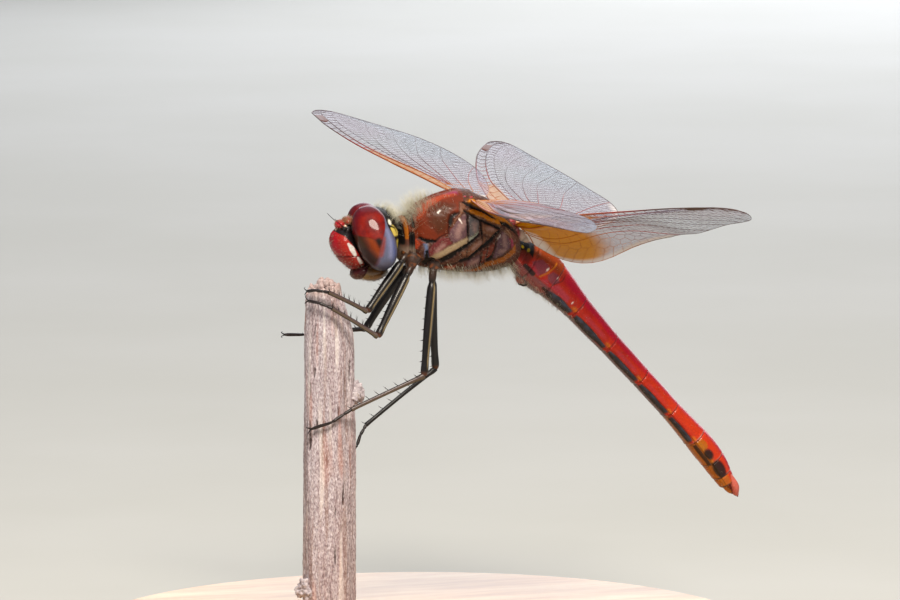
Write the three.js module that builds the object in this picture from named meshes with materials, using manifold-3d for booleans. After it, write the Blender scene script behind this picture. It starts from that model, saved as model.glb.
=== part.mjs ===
// A perched red-veined darter dragonfly, life size, on a cut length of dead stem.
//
// Millimetres, +Z up. The origin is the centre of the stand's underside. The insect faces -X, so its
// left side is -Y and its tail runs towards +X. Everything above the stand is built in the frame of
// the specimen: X and Y from the stem's axis, Z from the top of the stand's base.
import * as THREE from 'three';
import { mergeVertices } from 'three/addons/utils/BufferGeometryUtils.js';
import Module from 'manifold-3d';

const wasm = await Module();
wasm.setup();

// ---------------------------------------------------------------- driving dimensions
const GAP = 0.03; // clearance that neighbouring pieces keep
const LEFT = -1;
const RIGHT = 1;
const SIDES = { left: LEFT, right: RIGHT };
const FEELER_THICKNESS = 0.5; // thinnest solid stock: wings, feelers and feet

const BASE_RADIUS = 26;
const BASE_THICKNESS = 4;
const BASE_EDGE = 0.8; // rounding of the base's rim
const ROD_RADIUS = 0.8;
const ROD_LENGTH = 2;
const STEM_OFFSET = -7; // the stem stands off the base's centre, so that the insect is over it

const STEM_TOP = 25.1;

const HEAD_HEIGHT = 28; // of the middle of the head and of the neck
const EYE_CENTRE = new THREE.Vector3(2.9, 1.36, 28.5); // of the right eye
const EYE_SEMI = new THREE.Vector3(1.72, 1.5, 2.3);
const EYE_LEAN = THREE.MathUtils.degToRad(20); // the eyes lean together at the top
const HEAD_CENTRE = new THREE.Vector3(3.4, 0, 28.25);
const HEAD_SEMI = new THREE.Vector3(1.55, 2.45, 2.05);
const NECK_HOLLOW_CENTRE = new THREE.Vector3(6.45, 0, HEAD_HEIGHT);
const NECK_HOLLOW_RADIUS = 2.1;
const HEAD_TURN = THREE.MathUtils.degToRad(-10); // the face looks a little to the insect's right
const HEAD_PIVOT = new THREE.Vector3(4.6, 0, 0);
const HEAD_SHIFT = 0.22; // towards the thorax, as the neck is short

const NECK = { start: 4.62, end: 5.1, radius: 0.5, height: HEAD_HEIGHT };
const PROTHORAX_END = 6.02;
const THORAX_START = 6.05;
const THORAX_END = 14.5;

const FOREWING_LENGTH = 29.5;
const HINDWING_LENGTH = 28.2;
const WING_THICKNESS = FEELER_THICKNESS;

const FEMUR_RADIUS = 0.35;
const TIBIA_RADIUS = 0.25;
const TARSUS_RADIUS = 0.25;

// ---------------------------------------------------------------- finishes
const FINISHES = {
  eye: { color: 0x7c1a16, roughness: 0.15, metalness: 0 },
  face: { color: 0xc01c22, roughness: 0.35, metalness: 0 },
  lip: { color: 0x6e2a20, roughness: 0.4, metalness: 0 },
  headShell: { color: 0x3a241c, roughness: 0.45, metalness: 0 },
  feeler: { color: 0x17120f, roughness: 0.4, metalness: 0 },
  thoraxShell: { color: 0x8a4428, roughness: 0.5, metalness: 0 },
  abdomenShell: { color: 0xc8281e, roughness: 0.4, metalness: 0 },
  membrane: { color: 0xcfcabb, roughness: 0.2, metalness: 0 },
  leg: { color: 0x14110f, roughness: 0.3, metalness: 0 },
  stem: { color: 0xa8988c, roughness: 0.9, metalness: 0 },
  steel: { color: 0xb8bbbf, roughness: 0.3, metalness: 1 },
  timber: { color: 0xc9a878, roughness: 0.5, metalness: 0 },
};

// ---------------------------------------------------------------- shared making functions
const specimen = new THREE.Group();
specimen.position.set(STEM_OFFSET, 0, BASE_THICKNESS);
const stand = new THREE.Group();

function addPiece(group, name, geometry, finish) {
  const piece = new THREE.Mesh(geometry, new THREE.MeshStandardMaterial(FINISHES[finish]));
  piece.name = name;
  group.add(piece);
  return geometry;
}

// Keeps only positions and joins the vertices that lie on one another.
function weld(geometry) {
  const bare = geometry.index ? geometry.toNonIndexed() : geometry.clone();
  bare.deleteAttribute('normal');
  bare.deleteAttribute('uv');
  return mergeVertices(bare);
}

// Moves every vertex of a stock geometry by a rule.
function sculpt(geometry, rule) {
  const points = geometry.attributes.position;
  const point = new THREE.Vector3();
  for (let i = 0; i < points.count; i += 1) {
    rule(point.fromBufferAttribute(points, i));
    points.setXYZ(i, point.x, point.y, point.z);
  }
  return weld(geometry);
}

function toSolid(geometry) {
  const mesh = weld(geometry);
  return new wasm.Manifold(new wasm.Mesh({
    numProp: 3,
    vertProperties: new Float32Array(mesh.attributes.position.array),
    triVerts: new Uint32Array(mesh.index.array),
  }));
}

function toGeometry(solid) {
  const { vertProperties, triVerts } = solid.getMesh();
  const geometry = new THREE.BufferGeometry();
  geometry.setAttribute('position', new THREE.BufferAttribute(vertProperties, 3));
  geometry.setIndex(new THREE.BufferAttribute(triVerts, 1));
  return geometry;
}

// Cuts the tools away from a piece and keeps its largest body, without the slivers of the cut.
function cut(geometry, ...tools) {
  let solid = toSolid(geometry);
  for (const tool of tools) {
    solid = solid.subtract(toSolid(tool));
  }
  const bodies = solid.decompose().sort((a, b) => b.volume() - a.volume());
  return toGeometry(bodies[0]);
}

function join(geometry, ...additions) {
  let solid = toSolid(geometry);
  for (const addition of additions) {
    solid = solid.add(toSolid(addition));
  }
  return toGeometry(solid);
}

// A smooth function through stations [place, value, value, ...], which returns the values as a list.
function through(stations) {
  const values = stations[0].length - 1;
  const slope = (i, k) => {
    const before = stations[Math.max(i - 1, 0)];
    const after = stations[Math.min(i + 1, stations.length - 1)];
    return (after[k] - before[k]) / (after[0] - before[0]);
  };
  return (place) => {
    const last = stations.length - 2;
    let i = stations.findIndex((station, n) => n > 0 && place < station[0]) - 1;
    i = i < 0 ? (place < stations[0][0] ? 0 : last) : i;
    const [a, b] = [stations[i], stations[i + 1]];
    const width = b[0] - a[0];
    const u = THREE.MathUtils.clamp((place - a[0]) / width, 0, 1);
    return Array.from({ length: values }, (_, n) => {
      const k = n + 1;
      const rise = u * u * (3 - 2 * u);
      const start = u * (1 - u) * (1 - u) * width * slope(i, k);
      const end = u * u * (u - 1) * width * slope(i + 1, k);
      return a[k] + (b[k] - a[k]) * rise + start + end;
    });
  };
}

// A rounded section: power 1 is an ellipse, and less than 1 is squarer.
function roundedPoint(angle, power) {
  const bend = (value) => Math.sign(value) * Math.abs(value) ** power;
  return [bend(Math.cos(angle)), bend(Math.sin(angle))];
}

// A closed solid along part of a curve. section(u, angle) gives the offsets to the insect's left and up.
function alongCurve({ curve, from = 0, to = 1, steps, sides, section, up = new THREE.Vector3(0, 0, 1) }) {
  const stock = new THREE.CylinderGeometry(1, 1, 1, sides, steps);
  return sculpt(stock, (point) => {
    const u = from + (to - from) * (point.y + 0.5);
    const reach = Math.hypot(point.x, point.z);
    const [across, rise] = section(u, Math.atan2(point.z, point.x));
    const heading = curve.getTangentAt(THREE.MathUtils.clamp(u, 0, 1));
    const side = heading.clone().cross(up).normalize();
    const top = side.clone().cross(heading);
    point.copy(curve.getPointAt(THREE.MathUtils.clamp(u, 0, 1)));
    point.addScaledVector(side, across * reach).addScaledVector(top, rise * reach);
  });
}

function ellipsoid(centre, semi, { grow = 0, lean = 0, pitch = 0, across = 18, rings = 12 } = {}) {
  const turn = new THREE.Euler(lean, pitch, 0);
  return sculpt(new THREE.SphereGeometry(1, across, rings), (point) => {
    point.multiply(semi.clone().addScalar(grow)).applyEuler(turn).add(centre);
  });
}

// Turns a piece that was made with the head facing straight ahead.
function turned(geometry) {
  geometry.translate(-HEAD_PIVOT.x, 0, 0).rotateZ(HEAD_TURN);
  return geometry.translate(HEAD_PIVOT.x + HEAD_SHIFT, 0, 0);
}

function straight(start, end) {
  return new THREE.LineCurve3(start, end);
}

const at = (x, y, z) => new THREE.Vector3(x, y, z);

// ---------------------------------------------------------------- stand
function baseGeometry() {
  const profile = new THREE.Path();
  profile.moveTo(0, 0);
  profile.lineTo(BASE_RADIUS - BASE_EDGE / 2, 0);
  profile.lineTo(BASE_RADIUS, BASE_EDGE / 2);
  profile.lineTo(BASE_RADIUS, BASE_THICKNESS - BASE_EDGE);
  profile.absarc(BASE_RADIUS - BASE_EDGE, BASE_THICKNESS - BASE_EDGE, BASE_EDGE, 0, Math.PI / 2);
  profile.lineTo(0, BASE_THICKNESS);
  const lathe = new THREE.LatheGeometry(profile.getPoints(2), 36);
  return weld(lathe.rotateX(Math.PI / 2));
}

function rodGeometry() {
  const rod = new THREE.CylinderGeometry(ROD_RADIUS, ROD_RADIUS, ROD_LENGTH - 2 * GAP, 20);
  return weld(rod.rotateX(Math.PI / 2).translate(STEM_OFFSET, 0, BASE_THICKNESS + ROD_LENGTH / 2));
}

// ---------------------------------------------------------------- perch
// A dead stem: nearly round, with flat ribs, a crumbled top and two scabs of old bark.
const stemRadiusAt = through([
  [ROD_LENGTH, 1.86],
  [9, 1.84],
  [14.6, 1.8],
  [18, 1.76],
  [21.5, 1.72],
  [23.8, 1.5],
  [STEM_TOP, 1.2],
]);
const BREAK = { start: 20.5, offset: -0.42 }; // the break slopes, so the top stands off the axis

function stemGeometry() {
  const axis = straight(at(0, 0, ROD_LENGTH), at(0, 0, STEM_TOP));
  const ribs = 5;
  const ribDepth = 0.045;
  const shaft = alongCurve({
    curve: axis,
    steps: 10,
    sides: 18,
    up: at(0, 1, 0),
    section: (u, angle) => {
      const height = THREE.MathUtils.lerp(ROD_LENGTH, STEM_TOP, u);
      const radius = stemRadiusAt(height)[0] * (1 + ribDepth * Math.cos(ribs * angle + height / 9));
      return [radius * Math.cos(angle), radius * Math.sin(angle)];
    },
  });
  const sloped = sculpt(shaft, (point) => {
    point.x += BREAK.offset * THREE.MathUtils.smoothstep(point.z, BREAK.start, STEM_TOP);
  });
  const scab = (centre, semi) => ellipsoid(centre, semi, { across: 8, rings: 6 });
  return join(
    sloped,
    scab(at(1.75, -0.6, 17.3), at(0.72, 0.6, 0.8)),
    scab(at(-1.95, -0.2, 3.3), at(0.7, 0.6, 0.9)),
    scab(at(-0.75, -0.25, STEM_TOP), at(0.6, 0.6, 0.4)),
    scab(at(0.15, 0.2, STEM_TOP - 0.1), at(0.55, 0.6, 0.45)),
  );
}

// ---------------------------------------------------------------- head
function eyeGeometry(side, grow = 0) {
  const centre = EYE_CENTRE.clone();
  centre.y *= side;
  return turned(ellipsoid(centre, EYE_SEMI, { grow, lean: side * EYE_LEAN, across: 18, rings: 12 }));
}

// Everything on one side of the head's middle plane, as a cutting tool.
function halfSpace(side) {
  const size = 80;
  return turned(new THREE.BoxGeometry(size, size, size).translate(0, side * (size - GAP) / 2, HEAD_HEIGHT));
}

function neckGeometry(grow = 0) {
  return alongCurve({
    curve: straight(at(NECK.start - grow, 0, NECK.height), at(NECK.end + grow, 0, NECK.height)),
    steps: 1,
    sides: 12,
    section: (u, angle) => roundedPoint(angle, 1).map((value) => value * (NECK.radius + grow)),
  });
}

function neckHollow() {
  const semi = at(1, 1, 1).multiplyScalar(NECK_HOLLOW_RADIUS);
  return ellipsoid(NECK_HOLLOW_CENTRE, semi, { across: 12, rings: 8 });
}

// The pieces of the face from the top down: centre, half-sizes, pitch, and the name of the finish.
const FACE = {
  vertex: { centre: at(1.12, 0, 29.4), semi: at(0.52, 0.62, 0.42), pitch: 0, finish: 'face' },
  frons: { centre: at(1.12, 0, 28.15), semi: at(1.02, 1.35, 0.78), pitch: 0, finish: 'face' },
  clypeus: { centre: at(1.42, 0, 27.1), semi: at(1.0, 1.42, 0.66), pitch: 0.35, finish: 'face' },
  labrum: { centre: at(2.0, 0, 26.25), semi: at(0.95, 1.3, 0.56), pitch: 0.5, finish: 'lip' },
  labium: { centre: at(3.2, 0, 25.85), semi: at(1.35, 1.3, 0.55), pitch: 0.05, finish: 'lip' },
};

function facePiece(part, grow = 0) {
  return turned(ellipsoid(part.centre, part.semi, { grow, pitch: -part.pitch, across: 14, rings: 8 }));
}

function buildHead() {
  const grownEyes = [eyeGeometry(LEFT, GAP), eyeGeometry(RIGHT, GAP)];
  for (const [name, side] of Object.entries(SIDES)) {
    addPiece(specimen, `eye_${name}`, cut(eyeGeometry(side), halfSpace(-side)), 'eye');
  }
  const capsule = (grow) => turned(ellipsoid(HEAD_CENTRE, HEAD_SEMI, { grow, across: 14, rings: 9 }));
  addPiece(specimen, 'head', cut(capsule(0), ...grownEyes, neckHollow(), neckGeometry(GAP)), 'headShell');
  const placed = [...grownEyes, capsule(GAP)];
  for (const [name, part] of Object.entries(FACE)) {
    addPiece(specimen, name, cut(facePiece(part), ...placed), part.finish);
    placed.push(facePiece(part, GAP));
  }
  for (const [name, side] of Object.entries(SIDES)) {
    const route = new THREE.CatmullRomCurve3([
      at(1.0, side * 0.66, 28.95),
      at(0.55, side * 1.0, 29.45),
      at(0.15, side * 1.4, 29.85),
      at(-0.1, side * 1.85, 30.15),
    ]);
    const feeler = alongCurve({
      curve: route,
      steps: 3,
      sides: 8,
      section: (u, angle) => roundedPoint(angle, 1).map((value) => (value * FEELER_THICKNESS) / 2),
    });
    addPiece(specimen, `antenna_${name}`, cut(turned(feeler), ...placed), 'feeler');
  }
}

// ---------------------------------------------------------------- neck and thorax
// Stations along X: half width, top, bottom.
const prothoraxAt = through([
  [NECK.end, 0.75, 28.9, 27.1],
  [5.45, 1.2, 29.65, 26.5],
  [PROTHORAX_END, 1.35, 29.75, 26.35],
]);
const thoraxAt = through([
  [THORAX_START, 1.2, 29.9, 26.6],
  [6.5, 1.72, 30.5, 26.2],
  [7.4, 2.15, 30.95, 25.9],
  [8.5, 2.4, 31.3, 25.68],
  [9.6, 2.47, 31.5, 25.52],
  [10.8, 2.42, 31.42, 25.45],
  [12.0, 2.3, 31.1, 25.48],
  [13.0, 2.1, 30.55, 25.6],
  [13.9, 1.8, 29.75, 25.85],
  [THORAX_END, 1.3, 28.7, 26.3],
]);

function trunk({ start, end, stationAt, steps, sides, grow = 0, power = 0.88 }) {
  return alongCurve({
    curve: straight(at(start - grow, 0, 0), at(end + grow, 0, 0)),
    steps,
    sides,
    section: (u, angle) => {
      const [halfWidth, top, bottom] = stationAt(THREE.MathUtils.lerp(start, end, u));
      const [across, rise] = roundedPoint(angle, power);
      const middle = (top + bottom) / 2;
      return [across * (halfWidth + grow), middle + rise * ((top - bottom) / 2 + grow)];
    },
  });
}

// The caps of a trunk have their centre on the curve, so they are raised to the section's middle.
function trunkSolid(options) {
  const { start, end, stationAt, grow = 0 } = options;
  const middle = (x) => {
    const [, top, bottom] = stationAt(THREE.MathUtils.clamp(x, start, end));
    return (top + bottom) / 2;
  };
  return sculpt(trunk(options), (point) => {
    const isCapCentre = Math.hypot(point.y, point.z) < 1;
    if (isCapCentre) {
      point.z = middle(point.x + grow);
    }
  });
}

const thoraxGeometry = (grow = 0) => trunkSolid({
  start: THORAX_START,
  end: THORAX_END,
  stationAt: thoraxAt,
  steps: 12,
  sides: 20,
  grow,
});

const prothoraxGeometry = (grow = 0) => trunkSolid({
  start: NECK.end + GAP,
  end: PROTHORAX_END,
  stationAt: prothoraxAt,
  steps: 3,
  sides: 16,
  grow,
});

function buildTrunk() {
  addPiece(specimen, 'neck', neckGeometry(), 'headShell');
  addPiece(specimen, 'prothorax', prothoraxGeometry(), 'thoraxShell');
  addPiece(specimen, 'thorax', thoraxGeometry(), 'thoraxShell');
}

// ---------------------------------------------------------------- abdomen
const ABDOMEN_LINE = new THREE.CatmullRomCurve3([
  at(14.5, 0, 26.5),
  at(15.9, 0, 25.55),
  at(17.35, 0, 24.2),
  at(20.2, 0, 21.1),
  at(25.9, 0, 15.0),
  at(29.1, 0, 11.4),
  at(30.5, 0, 9.3),
  at(31.1, 0, 8.3),
], false, 'centripetal');
const SEGMENT_LENGTHS = [0.8, 2.2, 2.85, 3.75, 3.5, 3.4, 2.8, 2.1, 1.3, 0.8];
const SEGMENTS_LENGTH = SEGMENT_LENGTHS.reduce((sum, length) => sum + length, 0);
const CLASPER_LENGTH = 1.2;
const CLASPER_RADIUS = 0.26;
const CLASPER_OFFSET = { side: 0.31, up: 0.12 };
const ABDOMEN_LENGTH = SEGMENTS_LENGTH + CLASPER_LENGTH; // of the whole line
const RING_SPACING = 0.9; // between the rings of facets along a segment
// Along the abdomen, in millimetres from its base: half width and half depth.
const abdomenAt = through([
  [0, 1.05, 1.1],
  [1.1, 1.3, 1.45],
  [2.3, 1.25, 1.52],
  [3.8, 1.08, 1.24],
  [5.8, 0.95, 1.0],
  [8, 0.9, 0.87],
  [11, 0.87, 0.77],
  [15, 0.9, 0.72],
  [17.5, 0.98, 0.74],
  [19.6, 1.05, 0.86],
  [20.8, 1.0, 0.88],
  [22.2, 0.8, 0.76],
  [23.5, 0.55, 0.55],
]);

// Keeled along the back and flat underneath, as the segments of a darter are.
const BACK_POWER = 1;
const BELLY_POWER = 0.8;
const BACK_NARROWING = 0.1;

function abdomenSection(place, angle) {
  const [halfWidth, halfDepth] = abdomenAt(place);
  const [across, rise] = roundedPoint(angle, Math.sin(angle) > 0 ? BACK_POWER : BELLY_POWER);
  return [across * halfWidth * (1 - BACK_NARROWING * rise), rise * halfDepth];
}

function buildAbdomen() {
  let start = 0;
  SEGMENT_LENGTHS.forEach((length, i) => {
    const end = start + length;
    const segment = alongCurve({
      curve: ABDOMEN_LINE,
      from: (start + GAP) / ABDOMEN_LENGTH,
      to: (end - GAP) / ABDOMEN_LENGTH,
      steps: Math.max(2, Math.round(length / RING_SPACING)),
      sides: 16,
      section: (u, angle) => abdomenSection(u * ABDOMEN_LENGTH, angle),
    });
    const solid = i === 0 ? cut(segment, thoraxGeometry(GAP)) : segment;
    addPiece(specimen, `abdomen_${i + 1}`, solid, 'abdomenShell');
    start = end;
  });
}

function buildTail() {
  for (const [name, side] of Object.entries(SIDES)) {
    const clasper = alongCurve({
      curve: ABDOMEN_LINE,
      from: (SEGMENTS_LENGTH + GAP) / ABDOMEN_LENGTH,
      to: 1,
      steps: 4,
      sides: 8,
      section: (u, angle) => {
        const along = (u * ABDOMEN_LENGTH - SEGMENTS_LENGTH) / CLASPER_LENGTH;
        const radius = CLASPER_RADIUS * (1 - 0.5 * along ** 3);
        return roundedPoint(angle, 1).map((value) => value * radius);
      },
    });
    clasper.translate(0, side * CLASPER_OFFSET.side, CLASPER_OFFSET.up);
    addPiece(specimen, `clasper_${name}`, weld(clasper), 'abdomenShell');
  }
}

// The small copulatory organs bulge under the second segment.
function buildGenitalia() {
  const bulge = ellipsoid(at(15.0, 0, 24.55), at(0.85, 0.5, 0.6), { pitch: 0.6, across: 12, rings: 8 });
  const coveredLength = 4;
  const covering = alongCurve({
    curve: ABDOMEN_LINE,
    from: 0,
    to: coveredLength / ABDOMEN_LENGTH,
    steps: 6,
    sides: 16,
    section: (u, angle) => abdomenSection(u * ABDOMEN_LENGTH, angle).map((value) => value * (1 + GAP)),
  });
  addPiece(specimen, 'genital_bulge', cut(bulge, covering, thoraxGeometry(GAP)), 'abdomenShell');
}

// ---------------------------------------------------------------- wings
// Outlines along the span, from root 0 to tip 1: how far the leading and the trailing edge lie behind
// the wing's axis, as a share of its length.
const FOREWING_EDGES = through([
  [0, 0.004, 0.07],
  [0.04, -0.003, 0.1],
  [0.12, -0.009, 0.14],
  [0.25, -0.013, 0.18],
  [0.4, -0.017, 0.208],
  [0.55, -0.016, 0.224],
  [0.7, -0.007, 0.226],
  [0.8, 0.004, 0.216],
  [0.9, 0.028, 0.188],
  [0.96, 0.055, 0.155],
  [1, 0.092, 0.112],
]);
const HINDWING_EDGES = through([
  [0, 0.002, 0.06],
  [0.025, -0.002, 0.146],
  [0.06, -0.004, 0.223],
  [0.11, -0.008, 0.278],
  [0.19, -0.013, 0.32],
  [0.3, -0.019, 0.315],
  [0.45, -0.022, 0.282],
  [0.6, -0.014, 0.248],
  [0.75, 0.002, 0.212],
  [0.85, 0.022, 0.185],
  [0.93, 0.048, 0.155],
  [0.975, 0.074, 0.134],
  [1, 0.1, 0.115],
]);
const ROOT_STUB = 0.02; // share of the length that runs into the thorax

// Each wing: root, length, and its attitude in degrees. Sweep is towards the tail and dihedral upwards.
// Pitch is how steeply the trailing edge hangs at these shares of the span. The chord is cambered: it
// leaves the leading edge at half that slope.
const PITCH_PLACES = [0, 0.12, 0.28, 0.5, 0.75, 1];
const FORE_ROOT = at(11.2, 1.3, 30.6);
const HIND_ROOT = at(14.0, 1.3, 29.2);
const WINGS = {
  forewing_left: {
    side: LEFT, root: FORE_ROOT, length: FOREWING_LENGTH, edges: FOREWING_EDGES,
    sweep: -14.5, dihedral: 3.9, pitch: [-5, -4, -2, 0, 3, 6],
  },
  forewing_right: {
    side: RIGHT, root: FORE_ROOT, length: FOREWING_LENGTH, edges: FOREWING_EDGES,
    sweep: -7, dihedral: 6.3, pitch: [5, 3.5, 2, 4, 7, 10],
  },
  hindwing_left: {
    side: LEFT, root: HIND_ROOT, length: HINDWING_LENGTH, edges: HINDWING_EDGES,
    sweep: 9.8, dihedral: 8.6, pitch: [51, 19, 12, 13.5, 13.5, 17],
  },
  hindwing_right: {
    side: RIGHT, root: HIND_ROOT, length: HINDWING_LENGTH, edges: HINDWING_EDGES,
    sweep: 14.4, dihedral: 4.6, pitch: [12.5, 8, 5, 6.5, 10, 14.5],
  },
};

function wingGeometry(wing) {
  const radians = THREE.MathUtils.degToRad;
  const [sweep, dihedral] = [radians(wing.sweep), radians(wing.dihedral)];
  const span = at(
    Math.sin(sweep) * Math.cos(dihedral),
    wing.side * Math.cos(sweep) * Math.cos(dihedral),
    Math.sin(dihedral),
  );
  const rearward = at(Math.cos(sweep), -wing.side * Math.sin(sweep), 0);
  const upward = span.clone().cross(rearward).multiplyScalar(-wing.side).normalize();
  const root = wing.root.clone().setY(wing.side * wing.root.y);
  const pitchAt = through(PITCH_PLACES.map((place, i) => [place, radians(wing.pitch[i])]));
  const stock = new THREE.BoxGeometry(1, 1, 1, 20, 4, 1);
  return sculpt(stock, (point) => {
    const t = THREE.MathUtils.lerp(-ROOT_STUB, 1, point.x + 0.5);
    const inside = THREE.MathUtils.clamp(t, 0, 1);
    const [lead, trail] = wing.edges(inside);
    const share = 0.5 - wing.side * point.y;
    const chord = THREE.MathUtils.lerp(lead, trail, share) * wing.length;
    const slope = (pitchAt(inside)[0] * (1 + share)) / 2;
    const thickness = point.z * WING_THICKNESS;
    point.copy(root).addScaledVector(span, t * wing.length);
    point.addScaledVector(rearward, chord * Math.cos(slope) + thickness * Math.sin(slope));
    point.addScaledVector(upward, thickness * Math.cos(slope) - chord * Math.sin(slope));
  });
}

function buildWings() {
  const shell = thoraxGeometry(GAP);
  for (const [name, wing] of Object.entries(WINGS)) {
    addPiece(specimen, name, cut(wingGeometry(wing), shell), 'membrane');
  }
}

// ---------------------------------------------------------------- legs
// A limb is thickest where it starts, as a multiple of its radius.
const FEMUR_TAPER = { start: 1.15, end: 0.85 };
const TIBIA_TAPER = { start: 1.05, end: 1 };
const LIMB_UP = at(0.13, 0.99, 0.05); // across the legs' usual plane, so that no limb runs along it

// Each leg's route: hip, knee, ankle, and the points that its foot runs through.
const LEGS = {
  leg_fore_left: {
    hip: at(5.55, -0.85, 26.95), knee: at(2.2, -2.05, 23.25), ankle: at(-0.7, -2.1, 24.75),
    foot: [at(-1.55, -1.5, 24.85), at(-2.05, -0.6, 24.7)],
  },
  leg_fore_right: {
    hip: at(5.5, 0.9, 26.95), knee: at(3.95, 2.0, 24.95), ankle: at(5.65, 2.3, 28.0),
    foot: [at(5.75, 2.15, 28.8), at(5.65, 1.85, 29.6)],
  },
  leg_mid_left: {
    hip: at(5.8, -1.25, 26.15), knee: at(2.78, -2.65, 21.5), ankle: at(-0.45, -2.15, 23.6),
    foot: [at(-1.35, -1.7, 23.95), at(-2.0, -0.85, 24.05)],
  },
  leg_mid_right: {
    hip: at(6.5, 1.3, 25.95), knee: at(3.62, 2.3, 21.4), ankle: at(0.4, 2.35, 21.2),
    foot: [at(-1.1, 2.2, 21.2), at(-2.6, 2.0, 21.3)],
  },
  leg_hind_left: {
    hip: at(7.45, -1.3, 25.9), knee: at(6.35, -2.45, 18.5), ankle: at(0.95, -2.2, 16.3),
    foot: [at(-0.5, -2.1, 15.45), at(-1.75, -1.25, 14.9)],
  },
  leg_hind_right: {
    hip: at(8.35, 1.3, 25.7), knee: at(8.86, 2.1, 18.3), ankle: at(3.1, 0.75, 14.7),
    foot: [at(2.55, 0.45, 14.0), at(2.2, 0.1, 13.4)],
  },
};

function limb(points, radius, taper = { start: 1, end: 1 }, grow = 0) {
  const curve = points.length === 2 ? straight(...points) : new THREE.CatmullRomCurve3(points);
  return alongCurve({
    curve,
    steps: points.length === 2 ? 1 : 4,
    sides: 8,
    up: LIMB_UP,
    section: (u, angle) => {
      const reach = radius * THREE.MathUtils.lerp(taper.start, taper.end, u) + grow;
      return roundedPoint(angle, 1).map((value) => value * reach);
    },
  });
}

function buildLegs(stem) {
  const body = [thoraxGeometry(GAP), prothoraxGeometry(GAP)];
  for (const [name, { hip, knee, ankle, foot }] of Object.entries(LEGS)) {
    const femur = (grow) => limb([hip, knee], FEMUR_RADIUS, FEMUR_TAPER, grow);
    const tibia = (grow) => limb([knee, ankle], TIBIA_RADIUS, TIBIA_TAPER, grow);
    addPiece(specimen, `${name}_femur`, cut(femur(0), ...body), 'leg');
    addPiece(specimen, `${name}_tibia`, cut(tibia(0), femur(GAP), ...body), 'leg');
    const tarsus = limb([ankle, ...foot], TARSUS_RADIUS);
    addPiece(specimen, `${name}_tarsus`, cut(tarsus, tibia(GAP), stem), 'leg');
  }
}

// ---------------------------------------------------------------- assembly
addPiece(stand, 'stand_base', baseGeometry(), 'timber');
addPiece(stand, 'stand_rod', rodGeometry(), 'steel');
const stem = addPiece(specimen, 'perch_stem', stemGeometry(), 'stem');
buildHead();
buildTrunk();
buildAbdomen();
buildTail();
buildGenitalia();
buildWings();
buildLegs(stem);

const model = new THREE.Group();
model.add(stand, specimen);
export default model;
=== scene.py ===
# %% [markdown]
# # A red-veined darter on a display stem
#
# This notebook dresses a life-size dragonfly model: a male red-veined darter that grips the broken top
# of a dead stem. The CAD frame gives every piece its place. Here each piece gets its fine shape, its
# markings, its hair and its finish.
#
# The first cell loads the frame. Everything after it is in metres, in the frame's own axes: the insect
# faces -X, its left side is -Y and +Z is up.

# %% Load the frame
import math
import bmesh
import bpy
import numpy as np
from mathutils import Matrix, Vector, geometry, noise

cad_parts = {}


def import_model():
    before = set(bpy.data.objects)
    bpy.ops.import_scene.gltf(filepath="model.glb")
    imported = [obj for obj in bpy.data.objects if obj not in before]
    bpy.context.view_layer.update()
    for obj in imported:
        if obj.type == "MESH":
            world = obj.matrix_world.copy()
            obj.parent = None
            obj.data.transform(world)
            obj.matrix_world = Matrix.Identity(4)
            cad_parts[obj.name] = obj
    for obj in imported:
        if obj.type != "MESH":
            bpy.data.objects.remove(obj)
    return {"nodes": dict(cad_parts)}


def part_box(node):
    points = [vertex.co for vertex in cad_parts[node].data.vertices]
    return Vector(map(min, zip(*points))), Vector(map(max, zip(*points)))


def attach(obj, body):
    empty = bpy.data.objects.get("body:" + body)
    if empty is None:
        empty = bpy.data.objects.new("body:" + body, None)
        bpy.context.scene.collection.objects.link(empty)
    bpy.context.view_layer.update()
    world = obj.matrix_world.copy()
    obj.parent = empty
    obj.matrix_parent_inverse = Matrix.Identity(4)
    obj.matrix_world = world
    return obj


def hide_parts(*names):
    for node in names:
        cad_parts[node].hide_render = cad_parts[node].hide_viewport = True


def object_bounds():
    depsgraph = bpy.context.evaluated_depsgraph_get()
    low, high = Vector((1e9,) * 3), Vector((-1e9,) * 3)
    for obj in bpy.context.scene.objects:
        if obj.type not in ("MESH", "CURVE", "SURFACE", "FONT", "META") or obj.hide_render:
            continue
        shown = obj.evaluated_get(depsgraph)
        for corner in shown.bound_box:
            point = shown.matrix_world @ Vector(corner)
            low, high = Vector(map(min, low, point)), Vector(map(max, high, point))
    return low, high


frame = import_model()
CAD_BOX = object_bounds()
CAD_SIZE = [round(1000 * s, 1) for s in CAD_BOX[1] - CAD_BOX[0]]
print("frame:", len(frame["nodes"]), "nodes, size in mm", CAD_SIZE)

# %% [markdown]
# ## Millimetres on the insect
#
# An insect is measured in millimetres from something fixed. The axis of the stem is fixed by the steel
# rod under it, and the height by the top of the wooden base. All the sizes below are millimetres from
# that point, and one function turns them into the frame's metres.

# %% Millimetres to metres
MM = 0.001
rod_low, rod_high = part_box("stand_rod")
base_low, base_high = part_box("stand_base")
STEM_FOOT = np.array([(rod_low.x + rod_high.x) / 2, (rod_low.y + rod_high.y) / 2, base_high.z])
LEFT, RIGHT = -1, 1


def world(points):
    """Millimetres on the specimen as metres in the frame."""
    return np.asarray(points, float) * MM + STEM_FOOT


def local(points):
    """Metres in the frame as millimetres on the specimen."""
    return (np.asarray(points, float) - STEM_FOOT) / MM


print("the stem stands at", [round(v, 4) for v in STEM_FOOT])

# %% [markdown]
# ## Smooth rules
#
# A body's width, a wing's edge and a leg's thickness all change smoothly from place to place. They are
# written as a few stations, and `through` makes a smooth function of them. `smooth` turns a distance
# into a mask with a soft edge, and `smear` adds the slow unevenness that every grown thing has.

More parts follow.
